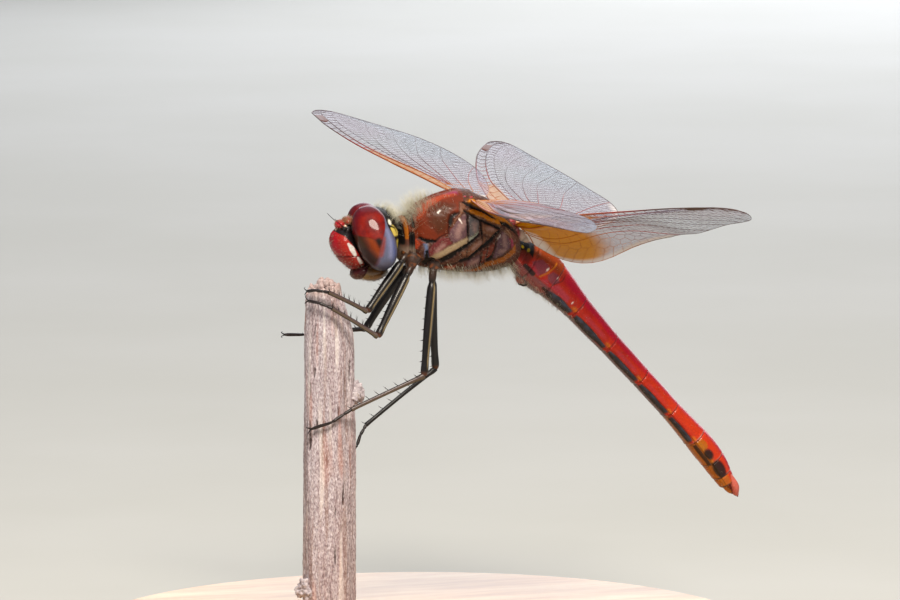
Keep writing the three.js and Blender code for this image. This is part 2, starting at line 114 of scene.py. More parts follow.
# %% Smooth rules
def through(stations):
    """A smooth function through [place, value, value, ...] stations."""
    table = np.array(stations, float)
    places, values = table[:, 0], table[:, 1:]
    behind = np.maximum(np.arange(len(places)) - 1, 0)
    ahead = np.minimum(np.arange(len(places)) + 1, len(places) - 1)
    slopes = (values[ahead] - values[behind]) / (places[ahead] - places[behind])[:, None]

    def at(place):
        place = np.clip(np.asarray(place, float), places[0], places[-1])
        i = np.clip(np.searchsorted(places, place, side="right") - 1, 0, len(places) - 2)
        width = (places[i + 1] - places[i])[..., None]
        u = (place - places[i])[..., None] / width
        rise = u * u * (3 - 2 * u)
        bend = u * (1 - u) * width * ((1 - u) * slopes[i] - u * slopes[i + 1])
        return values[i] + (values[i + 1] - values[i]) * rise + bend

    return at


def smooth(value, start, end):
    """0 before start, 1 after end, with a soft step between them."""
    u = np.clip((np.asarray(value, float) - start) / (end - start), 0, 1)
    return u * u * (3 - 2 * u)


def ridge(value, width):
    """A soft hill across value = 0."""
    return np.exp(-((value / width) ** 2))


def rounded(reach):
    """How wide a rounded end is, from 0 at its tip to 1 where reach is 1."""
    reach = np.clip(reach, 0, 1)
    return np.sqrt(reach * (2 - reach))


def turned(a, b, angle):
    """Two coordinates turned by an angle, from the first towards the second."""
    c, s = math.cos(angle), math.sin(angle)
    return c * a - s * b, s * a + c * b


def smear(points, size, seed=0.0):
    """Slow noise from -1 to 1. size is the width of its patches, in the points' own unit."""
    return np.array([noise.noise(Vector(p) / size + Vector((seed, 0, 0))) for p in points])


print("a station rule at half way:", through([[0, 1], [1, 2]])(0.5))

# %% [markdown]
# ## One way to make a skin
#
# Shells, eyes and stems are all a sheet that is rolled up. `create_grid` makes the flat sheet, a rule
# says where each point of it goes, and the seam and the poles are welded. The sheet keeps its own flat
# coordinates as the UV map "Wrap" and as two attributes, so markings can follow the shape.

# %% Rolled sheets and finished pieces
def rolled(along, around, rule):
    """A bmesh sheet whose point (u, v), each from 0 to 1, goes where rule(u, v) says, in millimetres."""
    sheet = bmesh.new()
    sheet.loops.layers.uv.new("Wrap")
    u_layer = sheet.verts.layers.float.new("along")
    v_layer = sheet.verts.layers.float.new("around")
    bmesh.ops.create_grid(sheet, x_segments=along, y_segments=around, size=0.5, calc_uvs=True)
    flat = np.array([vert.co for vert in sheet.verts])[:, :2] + 0.5
    placed = world(rule(flat[:, 0], flat[:, 1]))
    for vert, (u, v), co in zip(sheet.verts, flat, placed):
        vert[u_layer], vert[v_layer] = u, v
        vert.co = co
    bmesh.ops.remove_doubles(sheet, verts=sheet.verts, dist=2e-7)
    bmesh.ops.recalc_face_normals(sheet, faces=sheet.faces)
    return sheet


def piece(name, mesh, finish, slot, replaces=()):
    """Links a finished mesh, or a bmesh, as a piece of the model."""
    if isinstance(mesh, bmesh.types.BMesh):
        made = bpy.data.meshes.new(name)
        mesh.to_mesh(made)
        mesh.free()
        mesh = made
    mesh.name = name
    mesh.materials.clear()
    mesh.materials.append(finish)
    mesh.polygons.foreach_set("use_smooth", np.ones(len(mesh.polygons), bool))
    thing = bpy.data.objects.new(name, mesh)
    bpy.context.scene.collection.objects.link(thing)
    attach(thing, "root")
    if replaces:
        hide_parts(*replaces)
    print(name, "has", sum(len(p.vertices) - 2 for p in mesh.polygons), "triangles")
    return thing


def vertices(thing, what="co"):
    """The places or normals of a piece's vertices."""
    values = np.empty(len(thing.data.vertices) * 3)
    thing.data.vertices.foreach_get(what, values)
    return values.reshape(-1, 3)


def places_of(thing):
    """The places of a piece's vertices, in millimetres on the specimen."""
    return local(vertices(thing))


def wrap(thing, which):
    """The flat coordinate, along or around, of each vertex of a rolled sheet."""
    values = np.empty(len(thing.data.vertices))
    thing.data.attributes[which].data.foreach_get("value", values)
    return values


def push(thing, millimetres):
    """Raises each vertex along its normal."""
    moved = vertices(thing) + vertices(thing, "normal") * np.asarray(millimetres)[:, None] * MM
    thing.data.vertices.foreach_set("co", moved.ravel())
    thing.data.update()


def store(mesh, mark, values):
    """Stores a marking from 0 to 1, one value or one for each vertex, as an attribute."""
    layer = mesh.attributes.new(mark, "FLOAT", "POINT")
    values = np.broadcast_to(np.clip(values, 0, 1), len(layer.data))
    layer.data.foreach_set("value", values.astype(np.float32))


def paint(thing, **marks):
    """Stores all the markings of a piece. Its finish reads them."""
    for mark, values in marks.items():
        store(thing.data, mark, values)


# %% [markdown]
# ## Markings as strokes and spots
#
# Plates, seams and spots are drawn the way a model painter draws them: a stroke follows a few points
# with a brush of some width, and a spot is an oval. Both are measured in the side view, along and up.

# %% Strokes and spots
def along_edge(flat, a, b):
    """How far along the edge from a to b each place lies, from 0 to 1, and how far away from it."""
    way = b - a
    u = np.clip(((flat - a) @ way) / (way @ way), 0, 1)
    return u, np.linalg.norm(flat - a - u[:, None] * way, axis=1)


def stroke(flat, route, width, blur=0.06):
    """A mask of a brush stroke. width may be one number or one for each point of the route."""
    route = np.array(route, float)
    widths = np.broadcast_to(np.asarray(width, float), len(route))
    mask = np.zeros(len(flat))
    for a, b, wide_a, wide_b in zip(route[:-1], route[1:], widths[:-1], widths[1:]):
        u, away = along_edge(flat, a, b)
        half = (wide_a + (wide_b - wide_a) * u) / 2
        mask = np.maximum(mask, smooth(half - away, -blur, blur))
    return mask


def strokes(flat, routes, blur=0.05):
    """All the strokes of one marking."""
    mask = np.zeros(len(flat))
    for route, width in routes:
        mask = np.maximum(mask, stroke(flat, route, width, blur))
    return mask


def spot(flat, centre, semi, turn=0.0, blur=0.25):
    """A mask of an oval. turn is in degrees, and blur is a share of its size."""
    c, s = math.cos(math.radians(turn)), math.sin(math.radians(turn))
    offset = (flat - np.array(centre)) @ np.array([[c, -s], [s, c]])
    reach = np.linalg.norm(offset / np.array(semi), axis=1)
    return smooth(-reach, -1 - blur, -1 + blur)


def patch(flat, corners, blur=0.06):
    """A mask of a plate with soft edges. Its corners are given in order."""
    corners = np.array(corners, float)
    away = np.full(len(flat), 9.0)
    inside = np.zeros(len(flat), bool)
    for a, b in zip(corners, np.roll(corners, -1, axis=0)):
        way = b - a
        away = np.minimum(away, along_edge(flat, a, b)[1])
        crossing = (a[1] > flat[:, 1]) != (b[1] > flat[:, 1])
        inside ^= crossing & (flat[:, 0] < a[0] + (flat[:, 1] - a[1]) * way[0] / (way[1] or 1e-9))
    return smooth(np.where(inside, away, -away), -blur, blur)


# %% [markdown]
# ## Finishes
#
# Colours are written as the hex values that a painter would pick, and one function makes them linear.
# One more function adds a shader node with its settings and links. `layered` lays the markings over a
# base colour, in the order in which they are given.

# %% Shader helpers
MULTIPLIED = {"data_type": "RGBA", "blend_type": "MULTIPLY"}
# Noise keeps mostly to this share of its range, round the middle.
NOISE_SPAN = 0.6


def colour(code):
    """An sRGB hex value as linear RGBA."""
    parts = [int(code[i:i + 2], 16) / 255 for i in (1, 3, 5)]
    return (*[p / 12.92 if p <= 0.04045 else ((p + 0.055) / 1.055) ** 2.4 for p in parts], 1.0)


def add(tree, kind, inputs=None, **settings):
    """Adds a node, with its settings, and with a value or a link for each input that is named."""
    node = tree.nodes.new(kind)
    for key, value in settings.items():
        setattr(node, key, value)
    for key, value in (inputs or {}).items():
        if isinstance(value, bpy.types.NodeSocket):
            tree.links.new(value, node.inputs[key])
        else:
            node.inputs[key].default_value = value
    return node


def new_finish(name, **sockets):
    """A material for one real material: with its tree, its shader node and its Object coordinates."""
    finish = bpy.data.materials.new(name)
    finish.use_nodes = True
    tree = finish.node_tree
    shader = tree.nodes["Principled BSDF"]
    for key, value in sockets.items():
        shader.inputs[key.replace("_", " ")].default_value = value
    return finish, tree, shader, add(tree, "ShaderNodeTexCoord").outputs["Object"]


def mottled(tree, where, size_mm, codes, detail=4.0, sharpness=0.5):
    """Noise between colours. size_mm is the width of its patches, and where is a coordinate in metres."""
    scale = 1 / (size_mm * MM)
    texture = add(tree, "ShaderNodeTexNoise", {"Vector": where, "Scale": scale, "Detail": detail})
    ramp = add(tree, "ShaderNodeValToRGB", {"Fac": texture.outputs["Fac"]})
    spread = 0.5 * (1 - sharpness) * NOISE_SPAN
    stops = np.linspace(0.5 - spread, 0.5 + spread, len(codes))
    ramp.color_ramp.elements[0].position = stops[0]
    ramp.color_ramp.elements[1].position = stops[-1]
    for stop in stops[1:-1]:
        ramp.color_ramp.elements.new(stop)
    for element, code in zip(ramp.color_ramp.elements, codes):
        element.color = colour(code)
    return ramp.outputs["Color"]


def layered(tree, base, marks):
    """Lays each marking's colour over the one before. A colour is a hex value or a socket."""
    for mark, over in marks:
        fac = add(tree, "ShaderNodeAttribute", attribute_name=mark).outputs["Fac"]
        over = colour(over) if isinstance(over, str) else over
        base = add(tree, "ShaderNodeMix", {0: fac, 6: base, 7: over}, data_type="RGBA").outputs[2]
    return base


def grain(tree, shader, height, depth_mm):
    """A bump of this depth on the shader."""
    bump = add(tree, "ShaderNodeBump", {"Height": height, "Strength": 1.0, "Distance": depth_mm * MM})
    tree.links.new(bump.outputs["Normal"], shader.inputs["Normal"])


# %% [markdown]
# ## Camera, light and floor
#
# The insect is seen from its left, a little from the front and a little from above. A long lens far
# away keeps its proportions. One round lamp near the camera draws the round highlight on the eye, a
# wide card above lights the back, and a card behind grazes the wings, so that their film shows.

# %% Camera, light and floor
CAMERA_TURN, CAMERA_RISE = math.radians(20), math.radians(7.5)
CAMERA_DISTANCE, FRAME_WIDTH, SENSOR = 0.6, 0.06429, 36.0
AIM = Vector((0.0022, 0, 0.0275))
toward_camera = Vector((
    -math.sin(CAMERA_TURN) * math.cos(CAMERA_RISE),
    -math.cos(CAMERA_TURN) * math.cos(CAMERA_RISE),
    math.sin(CAMERA_RISE),
))


def point_at(thing, place, aim):
    """Links a camera or a lamp at a place, looking at the aim."""
    thing.location = place
    thing.rotation_euler = (aim - place).to_track_quat("-Z", "Y").to_euler()
    bpy.context.scene.collection.objects.link(thing)


camera = bpy.data.objects.new("camera", bpy.data.cameras.new("camera"))
camera.data.sensor_width = SENSOR
camera.data.lens = SENSOR * CAMERA_DISTANCE / FRAME_WIDTH
camera.data.clip_start, camera.data.clip_end = 0.01, 20
point_at(camera, AIM + toward_camera * CAMERA_DISTANCE, AIM)
bpy.context.scene.camera = camera


def lamp(name, direction, distance, width, watts, tint, height=None):
    """Links a soft round lamp that shines on the insect from a direction."""
    light = bpy.data.lights.new(name, "AREA")
    light.shape, light.size, light.size_y = "ELLIPSE", width, height or width
    light.energy, light.color = watts, colour(tint)[:3]
    point_at(bpy.data.objects.new(name, light), AIM + Vector(direction).normalized() * distance, AIM)


lamp("key", (-0.11, -0.6, 0.8), 0.45, 0.25, 3.5, "#FFF5E6", 0.17)
lamp("sky", (0.1, 0.5, 1.0), 0.5, 0.45, 0.45, "#E6EEFF")
lamp("back", (0.45, 0.8, 0.3), 0.5, 0.4, 1.0, "#F4F7FF")
lamp("fill", (-0.95, -0.25, 0.15), 0.5, 0.4, 0.2, "#FFFFFF")

world_light = bpy.data.worlds.new("studio")
world_light.use_nodes = True
world_light.node_tree.nodes["Background"].inputs["Color"].default_value = colour("#E4E8EA")
world_light.node_tree.nodes["Background"].inputs["Strength"].default_value = 0.25
bpy.context.scene.world = world_light

floor_sheet = bmesh.new()
bmesh.ops.create_grid(floor_sheet, x_segments=2, y_segments=2, size=3.0)
floor_data = bpy.data.meshes.new("floor")
floor_sheet.to_mesh(floor_data)
floor_sheet.free()
floor_paint, tree, shader, where = new_finish("matte studio paper", Roughness=0.9)
tree.links.new(mottled(tree, where, 40, ["#B9B9B4", "#BDBDB9"]), shader.inputs["Base Color"])
floor_data.materials.append(floor_paint)
floor = bpy.data.objects.new("floor", floor_data)
bpy.context.scene.collection.objects.link(floor)
bpy.context.scene.view_settings.view_transform = "Standard"
print("camera lens", round(camera.data.lens), "mm, at", [round(v, 3) for v in camera.location])

# %% [markdown]
# ## The stand
#
# The base is a turned beech disc. A profile spun round the axis gives the flat top, the small quirk
# near its edge and the rounded rim, as the lathe does. The steel rod is a plain ground pin, so the CAD
# solid stays and only gets its finish.

# %% Beech and steel
beech, tree, shader, where = new_finish(
    "turned beech, oiled", Roughness=0.42, Coat_Weight=0.15, Coat_Roughness=0.3,
)
# Growth rings run as long streaks, about 1.6 mm apart, and flecks 0.25 mm wide and 2 mm long lie along them.
streaks = add(tree, "ShaderNodeMapping", {"Vector": where, "Scale": (0.12, 1.0, 1.0)}).outputs["Vector"]
rings = mottled(tree, streaks, 1.6, ["#C79B6C", "#D8B183", "#E2C197"], detail=6)
flecks = mottled(tree, streaks, 0.25, ["#B98A5C", "#FFFFFF"], detail=2, sharpness=0.2)
wood = add(tree, "ShaderNodeMix", {0: 0.25, 6: rings, 7: flecks}, **MULTIPLIED)
tree.links.new(wood.outputs[2], shader.inputs["Base Color"])
pores = add(tree, "ShaderNodeTexNoise", {"Vector": streaks, "Scale": 1 / (0.3 * MM), "Detail": 3.0})
grain(tree, shader, pores.outputs["Fac"], 0.03)

steel, tree, shader, where = new_finish("ground steel pin", Metallic=1.0, Roughness=0.32)
tree.links.new(mottled(tree, where, 0.8, ["#A9ABAD", "#C4C6C8"]), shader.inputs["Base Color"])
scratches = add(tree, "ShaderNodeMapping", {"Vector": where, "Scale": (1.0, 1.0, 12.0)}).outputs["Vector"]
lines = add(tree, "ShaderNodeTexNoise", {"Vector": scratches, "Scale": 1 / (0.6 * MM)})
grain(tree, shader, lines.outputs["Fac"], 0.01)
bpy.data.objects["stand_rod"].data.materials.clear()
bpy.data.objects["stand_rod"].data.materials.append(steel)

# %% Turned base
BASE_RADIUS = (base_high.x - base_low.x) / 2
base_profile = [
    (0.0, base_low.z),
    (0.96, base_low.z),
    (0.985, base_low.z + 0.0005),
    (1.0, base_low.z + 0.0013),
    (1.0, base_low.z + 0.0024),
    (0.985, base_low.z + 0.0031),
    (0.955, base_low.z + 0.0034),
    (0.945, base_high.z - 0.0002),
    (0.925, base_high.z),
    (0.0, base_high.z),
]
disc = bmesh.new()
ring = [disc.verts.new((BASE_RADIUS * share, 0, height)) for share, height in base_profile]
edges = [disc.edges.new(pair) for pair in zip(ring[:-1], ring[1:])]
bmesh.ops.spin(
    disc, geom=ring + edges, axis=(0, 0, 1), cent=(0, 0, 0), angle=math.tau, steps=160, use_merge=True,
)
bmesh.ops.remove_doubles(disc, verts=disc.verts, dist=1e-6)
rims = [e for e in disc.edges if len(e.link_faces) == 2 and e.calc_face_angle() > 0.3]
bmesh.ops.bevel(disc, geom=rims, offset=0.00012, segments=2, profile=0.5, affect="EDGES", material=-1)
base_middle = (base_low + base_high) / 2
bmesh.ops.translate(disc, verts=disc.verts, vec=(base_middle.x, base_middle.y, 0))
bmesh.ops.recalc_face_normals(disc, faces=disc.faces)
piece("stand_turned_base", disc, beech, "stand_wood", ["stand_base"])

# %% [markdown]
# ## The dead stem
#
# The perch is a dry weathered stem that has snapped off. Its bark has gone, so long fibres show as
# ridges, with slits where it shrank. The break is crumbly: soft rounded crumbs of pith on a torn rim. A
# rolled sheet carries the ridges, because they follow its height and angle, and the crumbs are small
# lumps of their own that sink into the break.

# %% Weathered stem
STEM_BOTTOM, STEM_TOP = 2.0, 25.1
stem_radius = through([
    [2.0, 1.86], [9.0, 1.84], [14.6, 1.8], [18.0, 1.76], [21.5, 1.7], [23.0, 1.45], [24.7, 1.2],
    [25.1, 1.08],
])

# The shares of the sheet that round off the foot and the top.
FOOT_CLOSE, TOP_CLOSE = 0.03, 0.06


def fibre_places(angle, height):
    """Where the noise of the stem is read. It makes patches 14 times as long as they are wide."""
    return np.stack([np.cos(angle) * 1.8, np.sin(angle) * 1.8, height * 0.07], axis=-1)


def slit_noise(fibres):
    """Noise whose peaks are the slits where the wood shrank."""
    return smear(fibres * [1, 1, 2.0], 0.3, 21.0)


def stem_surface(u, v):
    """The stem: u goes up it and over both ends, and v goes round it."""
    inner = np.clip((u - FOOT_CLOSE) / (1 - (FOOT_CLOSE + TOP_CLOSE)), 0, 1)
    height = STEM_BOTTOM + (STEM_TOP - STEM_BOTTOM) * inner
    closing = np.sqrt(np.clip(np.minimum(u / FOOT_CLOSE, (1 - u) / TOP_CLOSE), 0, 1))
    angle = v * math.tau
    fibres = fibre_places(angle, height)
    radius = stem_radius(height)[..., 0] * (1 + 0.045 * np.cos(5 * angle + height / 9))
    ridges = 0.035 * smear(fibres * [1, 1, 3.0], 0.11, 3.0)
    radius += 0.07 * smear(fibres, 0.7) + 0.05 * smear(fibres, 0.22, 7.0) + ridges
    radius -= 0.14 * smooth(slit_noise(fibres), 0.5, 0.65)
    rim = np.stack([np.cos(angle), np.sin(angle), height * 0.4], axis=-1)
    torn = smooth(height, 23.2, 25.0) * smear(rim, 0.45, 5.0)
    radius *= closing
    lean = -0.36 * smooth(height, 21.0, 25.1)
    slump = 0.32 * smooth(-np.cos(angle), 0.1, 0.9) * smooth(height, 23.0, 25.1)
    up = height - slump + 0.5 * torn * smooth(u, 0.8, 0.94) * closing - 0.5 * smooth(u, 0.94, 1.0)
    return np.stack([radius * np.cos(angle) + lean, radius * np.sin(angle), up], axis=-1)


# %% Weathered wood
dry_wood, tree, shader, where = new_finish(
    "weathered dry plant stem", Roughness=0.85, Specular_IOR_Level=0.25,
)
long_way = add(tree, "ShaderNodeMapping", {"Vector": where, "Scale": (1.0, 1.0, 0.07)}).outputs["Vector"]
short_way = add(tree, "ShaderNodeMapping", {"Vector": where, "Scale": (1.0, 1.0, 0.45)}).outputs["Vector"]
# Weathering runs in streaks about 0.5 mm wide, fibres are 0.11 mm wide, and mould specks are 0.09 mm.
streaks = mottled(tree, long_way, 0.5, ["#A09096", "#BBACB2", "#CDC4CC", "#B2A3A9"], detail=4, sharpness=0.0)
fibres = mottled(tree, long_way, 0.11, ["#93797A", "#FFFFFF"], detail=2, sharpness=0.0)
fibrous = add(tree, "ShaderNodeMix", {0: 0.42, 6: streaks, 7: fibres}, **MULTIPLIED)
specks = mottled(tree, short_way, 0.09, ["#5E4A50", "#B7A6A4", "#FFFFFF", "#FFFFFF"], detail=2, sharpness=0.3)
speckled = add(tree, "ShaderNodeMix", {0: 0.62, 6: fibrous.outputs[2], 7: specks}, **MULTIPLIED)
bark = layered(tree, speckled.outputs[2], [
    ("slit", "#4A3A3A"), ("rust", "#A8705C"), ("bleached", "#E6DCD8"), ("pith", "#AE9894"),
    ("brown", "#8A6A5C"),
])
pale_specks = mottled(tree, short_way, 0.12, ["#FFFFFF", "#000000", "#000000"], detail=2, sharpness=0.55)
dusted = add(tree, "ShaderNodeMix", {0: 0.16, 6: bark, 7: pale_specks}, data_type="RGBA", blend_type="ADD")
tree.links.new(dusted.outputs[2], shader.inputs["Base Color"])
fine = add(tree, "ShaderNodeTexNoise", {"Vector": short_way, "Scale": 1 / (0.11 * MM), "Detail": 4.0})
grain(tree, shader, fine.outputs["Fac"], 0.09)

stem = piece("perch_weathered_stem", rolled(330, 240, stem_surface), dry_wood, "stem_wood", ["perch_stem"])
places = places_of(stem)
fibres = fibre_places(np.arctan2(places[:, 1], places[:, 0]), places[:, 2])
paint(
    stem,
    slit=smooth(slit_noise(fibres), 0.48, 0.62),
    rust=0.45 * smooth(smear(fibres, 0.36, 33.0), 0.2, 0.6),
    bleached=0.5 * smooth(smear(fibres, 0.42, 41.0), 0.2, 0.55),
    pith=smooth(places[:, 2], 24.0, 24.9),
    brown=0.4 * smooth(smear(fibres, 0.36, 57.0), 0.25, 0.5),
)

# %% Crumbs and scabs
def set_places(verts, places):
    """Moves vertices of a bmesh to places in millimetres."""
    for vert, co in zip(verts, world(places)):
        vert.co = co


def lump(sheet, centre, semi, roughness, seed, turns=3):
    """Adds a rough rounded lump to a bmesh."""
    made = bmesh.ops.create_icosphere(sheet, subdivisions=turns, radius=1.0)["verts"]
    unit = np.array([vert.co for vert in made])
    swell = 1 + roughness * smear(unit, 0.55, seed) + 0.5 * roughness * smear(unit, 0.22, seed + 9)
    set_places(made, np.array(centre) + unit * swell[:, None] * np.array(semi))


# The middle and the radius of each crumb.
CRUMBS = [
    ((-0.72, -0.53, 25.0), 0.25), ((-0.37, -0.62, 25.2), 0.27), ((0.01, -0.53, 25.1), 0.27),
    ((0.26, -0.34, 24.95), 0.25), ((-0.58, -0.21, 25.15), 0.28), ((-0.12, -0.17, 25.25), 0.28),
    ((0.22, 0.04, 25.1), 0.26), ((-0.83, -0.09, 24.85), 0.26), ((-0.49, 0.26, 25.1), 0.28),
    ((-0.03, 0.34, 25.1), 0.27), ((-0.79, 0.39, 24.75), 0.26), ((0.3, 0.39, 24.8), 0.24),
    ((-0.28, -0.82, 24.8), 0.22), ((0.09, -0.77, 24.75), 0.22), ((-0.62, -0.73, 24.65), 0.22),
    ((0.39, -0.56, 24.6), 0.22), ((-0.37, 0.69, 24.7), 0.24), ((0.05, 0.69, 24.65), 0.22),
    ((-1.0, -0.3, 24.45), 0.2), ((0.49, -0.09, 24.6), 0.22),
]
crumbs = bmesh.new()
for number, (centre, size) in enumerate(CRUMBS):
    lump(crumbs, centre, (size, size, size * 1.1), 0.16, number * 3.0)
crumb_piece = piece("perch_crumbs", crumbs, dry_wood, "stem_wood")
paint(crumb_piece, pith=0.85)

scab_finish, tree, shader, where = new_finish("dried white lichen crust", Roughness=0.9)
crust = mottled(tree, where, 0.35, ["#5E5456", "#9C9096", "#C2B8BC", "#D8D0D4"], detail=5, sharpness=0.1)
tree.links.new(crust, shader.inputs["Base Color"])
pits = add(tree, "ShaderNodeTexNoise", {"Vector": where, "Scale": 1 / (0.12 * MM), "Detail": 4.0})
grain(tree, shader, pits.outputs["Fac"], 0.08)
# The middle and the half sizes of each crust.
SCABS = [
    ((1.85, -0.6, 17.6), (0.5, 0.5, 0.52)),
    ((2.03, -0.55, 17.1), (0.48, 0.5, 0.5)),
    ((1.6, -0.85, 17.0), (0.4, 0.45, 0.6)),
    ((-1.9, -0.3, 3.5), (0.5, 0.45, 0.5)),
    ((-2.15, -0.15, 3.1), (0.42, 0.45, 0.42)),
    ((-1.75, -0.6, 2.95), (0.42, 0.4, 0.5)),
]
scabs = bmesh.new()
for number, (centre, semi) in enumerate(SCABS):
    lump(scabs, centre, semi, 0.5, 40 + number * 5.0, 4)
piece("perch_scabs", scabs, scab_finish, "stem_wood")

# %% [markdown]
# ## The head
#
# A darter's head is almost all eye. Two great eyes meet on top, and the red face swells in front of
# them: the vertex with its three simple eyes, the forehead (frons) with two round lobes, the clypeus,
# and the lips. The head is made looking straight ahead and then turned a little on its neck, as one
# thing. Each swelling is a rolled ball, because its poles then lie hidden at the sides.

# %% Head helpers
HEAD_TURN, HEAD_PIVOT, HEAD_SHIFT = math.radians(-10), 4.6, 0.22


def turn_head(points):
    """Turns points that are made for a head looking straight ahead."""
    x, y = turned(points[..., 0] - HEAD_PIVOT, points[..., 1], HEAD_TURN)
    return np.stack([x + HEAD_PIVOT + HEAD_SHIFT, y, points[..., 2]], axis=-1)


def straight_head(points):
    """Undoes turn_head."""
    x, y = turned(points[..., 0] - HEAD_PIVOT - HEAD_SHIFT, points[..., 1], -HEAD_TURN)
    return np.stack([x + HEAD_PIVOT, y, points[..., 2]], axis=-1)


def ball(u, v):
    """A unit ball with its poles on the left and the right."""
    rise, around = np.sin(math.pi * u), math.tau * v
    return np.stack([-rise * np.cos(around), -np.cos(math.pi * u), rise * np.sin(around)], axis=-1)


def swelling(centre, semi, pitch=0.0, relief=None, turning=turn_head):
    """A rule for a ball of this size that nods by pitch. relief(unit) is its hills, as shares of its size."""

    def rule(u, v):
        unit = ball(u, v)
        height = 1 if relief is None else 1 + relief(unit)[..., None]
        x, y, z = np.moveaxis(unit * height * np.array(semi), -1, 0)
        x, z = turned(x, z, pitch)
        return turning(np.stack([x, y, z], axis=-1) + np.array(centre))

    return rule


def side_view(thing, side=LEFT):
    """Where each vertex of a head piece lies in the side view of the left half."""
    return turn_head(straight_head(places_of(thing)) * [1, -side, 1])[:, [0, 2]]


# %% [markdown]
# ## Compound eyes
#
# Each eye is a dome of thousands of facets under clear cuticle: brick red above, and below a waxy
# lavender grey behind and brown in front. The dome is one dense rolled ball cut at the middle of the
# head. The facets are a fine bump, and the colours are painted on the mesh from the side view.

# %% Eye finish
EYE_CENTRE, EYE_SEMI = (3.09, 1.36, 28.34), (1.38, 1.5, 2.42)
EYE_LEAN, EYE_NOD, EYE_SQUARENESS = math.radians(23.6), math.radians(-19.3), 2.3
cornea, tree, shader, where = new_finish(
    "clear facetted cornea over pigment", Roughness=0.45, Specular_IOR_Level=0.1, Coat_Weight=0.42,
    Coat_Roughness=0.06, Coat_IOR=1.45,
)
# Facets are about 0.04 mm wide. They are drawn at 0.07 mm, the finest that shows.
facets = add(tree, "ShaderNodeTexVoronoi", {"Vector": where, "Scale": 1 / (0.07 * MM), "Randomness": 0.25})
depth = mottled(tree, where, 0.6, ["#640A06", "#741008", "#82180A"], detail=2)
# pale is a painted highlight: a pale streak down the lavender grey of the lower eye.
pigment = layered(tree, depth, [
    ("crown", "#460420"), ("dark", "#2A0C04"), ("olive", "#40260E"), ("amber", "#863610"),
    ("wax", "#5C607A"), ("blue", "#505C94"), ("pale", "#8286AC"), ("ruby", "#843220"),
    # pupil is painted shade: the dark spot that the facets show towards the viewer.
    ("pupil", "#120403"), ("margin", "#201216"),
])
facet_shade = mottled(tree, where, 0.07, ["#888888", "#FFFFFF"])
cells = add(tree, "ShaderNodeMix", {0: 0.35, 6: pigment, 7: facet_shade}, **MULTIPLIED)
tree.links.new(cells.outputs[2], shader.inputs["Base Color"])
grain(tree, shader, facets.outputs["Distance"], 0.012)


# %% Two domes
def eye_dome(side):
    """The rule for one eye. Its top leans inward and forward, and it stops at the middle of the head."""

    def rule(u, v):
        unit = ball(u, v) * [1, -1, 1]
        unit = unit / (np.abs(unit) ** EYE_SQUARENESS).sum(axis=-1, keepdims=True) ** (1 / EYE_SQUARENESS)
        x, out, up = np.moveaxis(unit * np.array(EYE_SEMI), -1, 0)
        out, up = turned(out, up, EYE_LEAN)
        x, up = turned(x, up, -EYE_NOD)
        dome = np.stack([x, out, up], axis=-1) + np.array(EYE_CENTRE)
        dome[..., 1] = np.maximum(dome[..., 1], 0.012)
        return turn_head(dome * [1, side, 1])

    return rule


eye_edge = through([
    [0.8, 28.7], [1.3, 28.66], [2.07, 28.59], [2.57, 28.46], [3.05, 28.36], [3.27, 28.7], [3.47, 29.18],
    [3.6, 29.69], [3.75, 30.2], [4.4, 31.4],
])
# The bands of the lower half: a route, its widths, its blur and its strength.
EYE_BANDS = {
    "olive": ([(1.75, 28.5), (1.95, 27.9)], [0.3, 0.2], 0.2, 0.8),
    "amber": ([(2.3, 28.5), (2.6, 27.9), (2.85, 27.4)], [0.5, 0.6, 0.4], 0.3, 0.9),
    "blue": ([(3.95, 28.2), (4.05, 27.5), (3.9, 26.9)], [0.2, 0.3, 0.2], 0.25, 0.8),
    # pale is a painted highlight, a pale streak on the lavender grey.
    "pale": ([(3.62, 29.0), (3.75, 28.3), (3.7, 27.2)], [0.25, 0.34, 0.3], 0.22, 0.75),
    "ruby": ([(3.3, 28.5), (3.12, 27.8), (3.02, 27.3)], [0.16, 0.26, 0.2], 0.16, 0.85),
}
for side, name in ((LEFT, "left"), (RIGHT, "right")):
    eye = piece(f"compound_eye_{name}", rolled(150, 190, eye_dome(side)), cornea, "eye", [f"eye_{name}"])
    flat = side_view(eye, side)
    x, z = flat.T
    below = smooth(eye_edge(x)[..., 0] - z, -0.07, 0.1)
    rear = smooth(x - (3.2 - 0.24 * (28.3 - z)), -0.22, 0.2)
    crown = smooth(np.hypot(x - 2.75, (z - 29.2) * 0.85), 0.75, 1.5) * smooth(z, 28.4, 29.4)
    paint(
        eye,
        crown=np.maximum(crown, smooth(-x, -1.9, -1.2) * 0.7) * (1 - below),
        dark=below * (1 - rear),
        wax=below * rear,
        # The pseudopupil is painted shade, a dark spot that real facets show only towards the viewer, fixed
        # on the eye.
        pupil=stroke(flat, [(2.88, 28.34), (2.87, 27.92)], [0.42, 0.04], 0.14),
        margin=smooth(z + 0.1 * x, 27.0, 26.5) * 0.7 + 0.35 * smooth(x, 1.75, 1.35) * below,
        **{
            mark: below * stroke(flat, route, widths, blur) * strength
            for mark, (route, widths, blur, strength) in EYE_BANDS.items()
        },
    )
print("eye top:", places_of(eye).max(axis=0).round(2))

# %% [markdown]
# ## Face, forehead and lips
#
# The face is hard glossy cuticle, crimson in a ripe male, finely pitted and set with short brown hairs.
# A groove parts the forehead into two lobes. Under it the clypeus is a wide band with a step, the upper
# lip (labrum) hangs as a rounded flap with a notch, and the lower lip (labium) closes the mouth from
# below with a middle plate and two side plates.

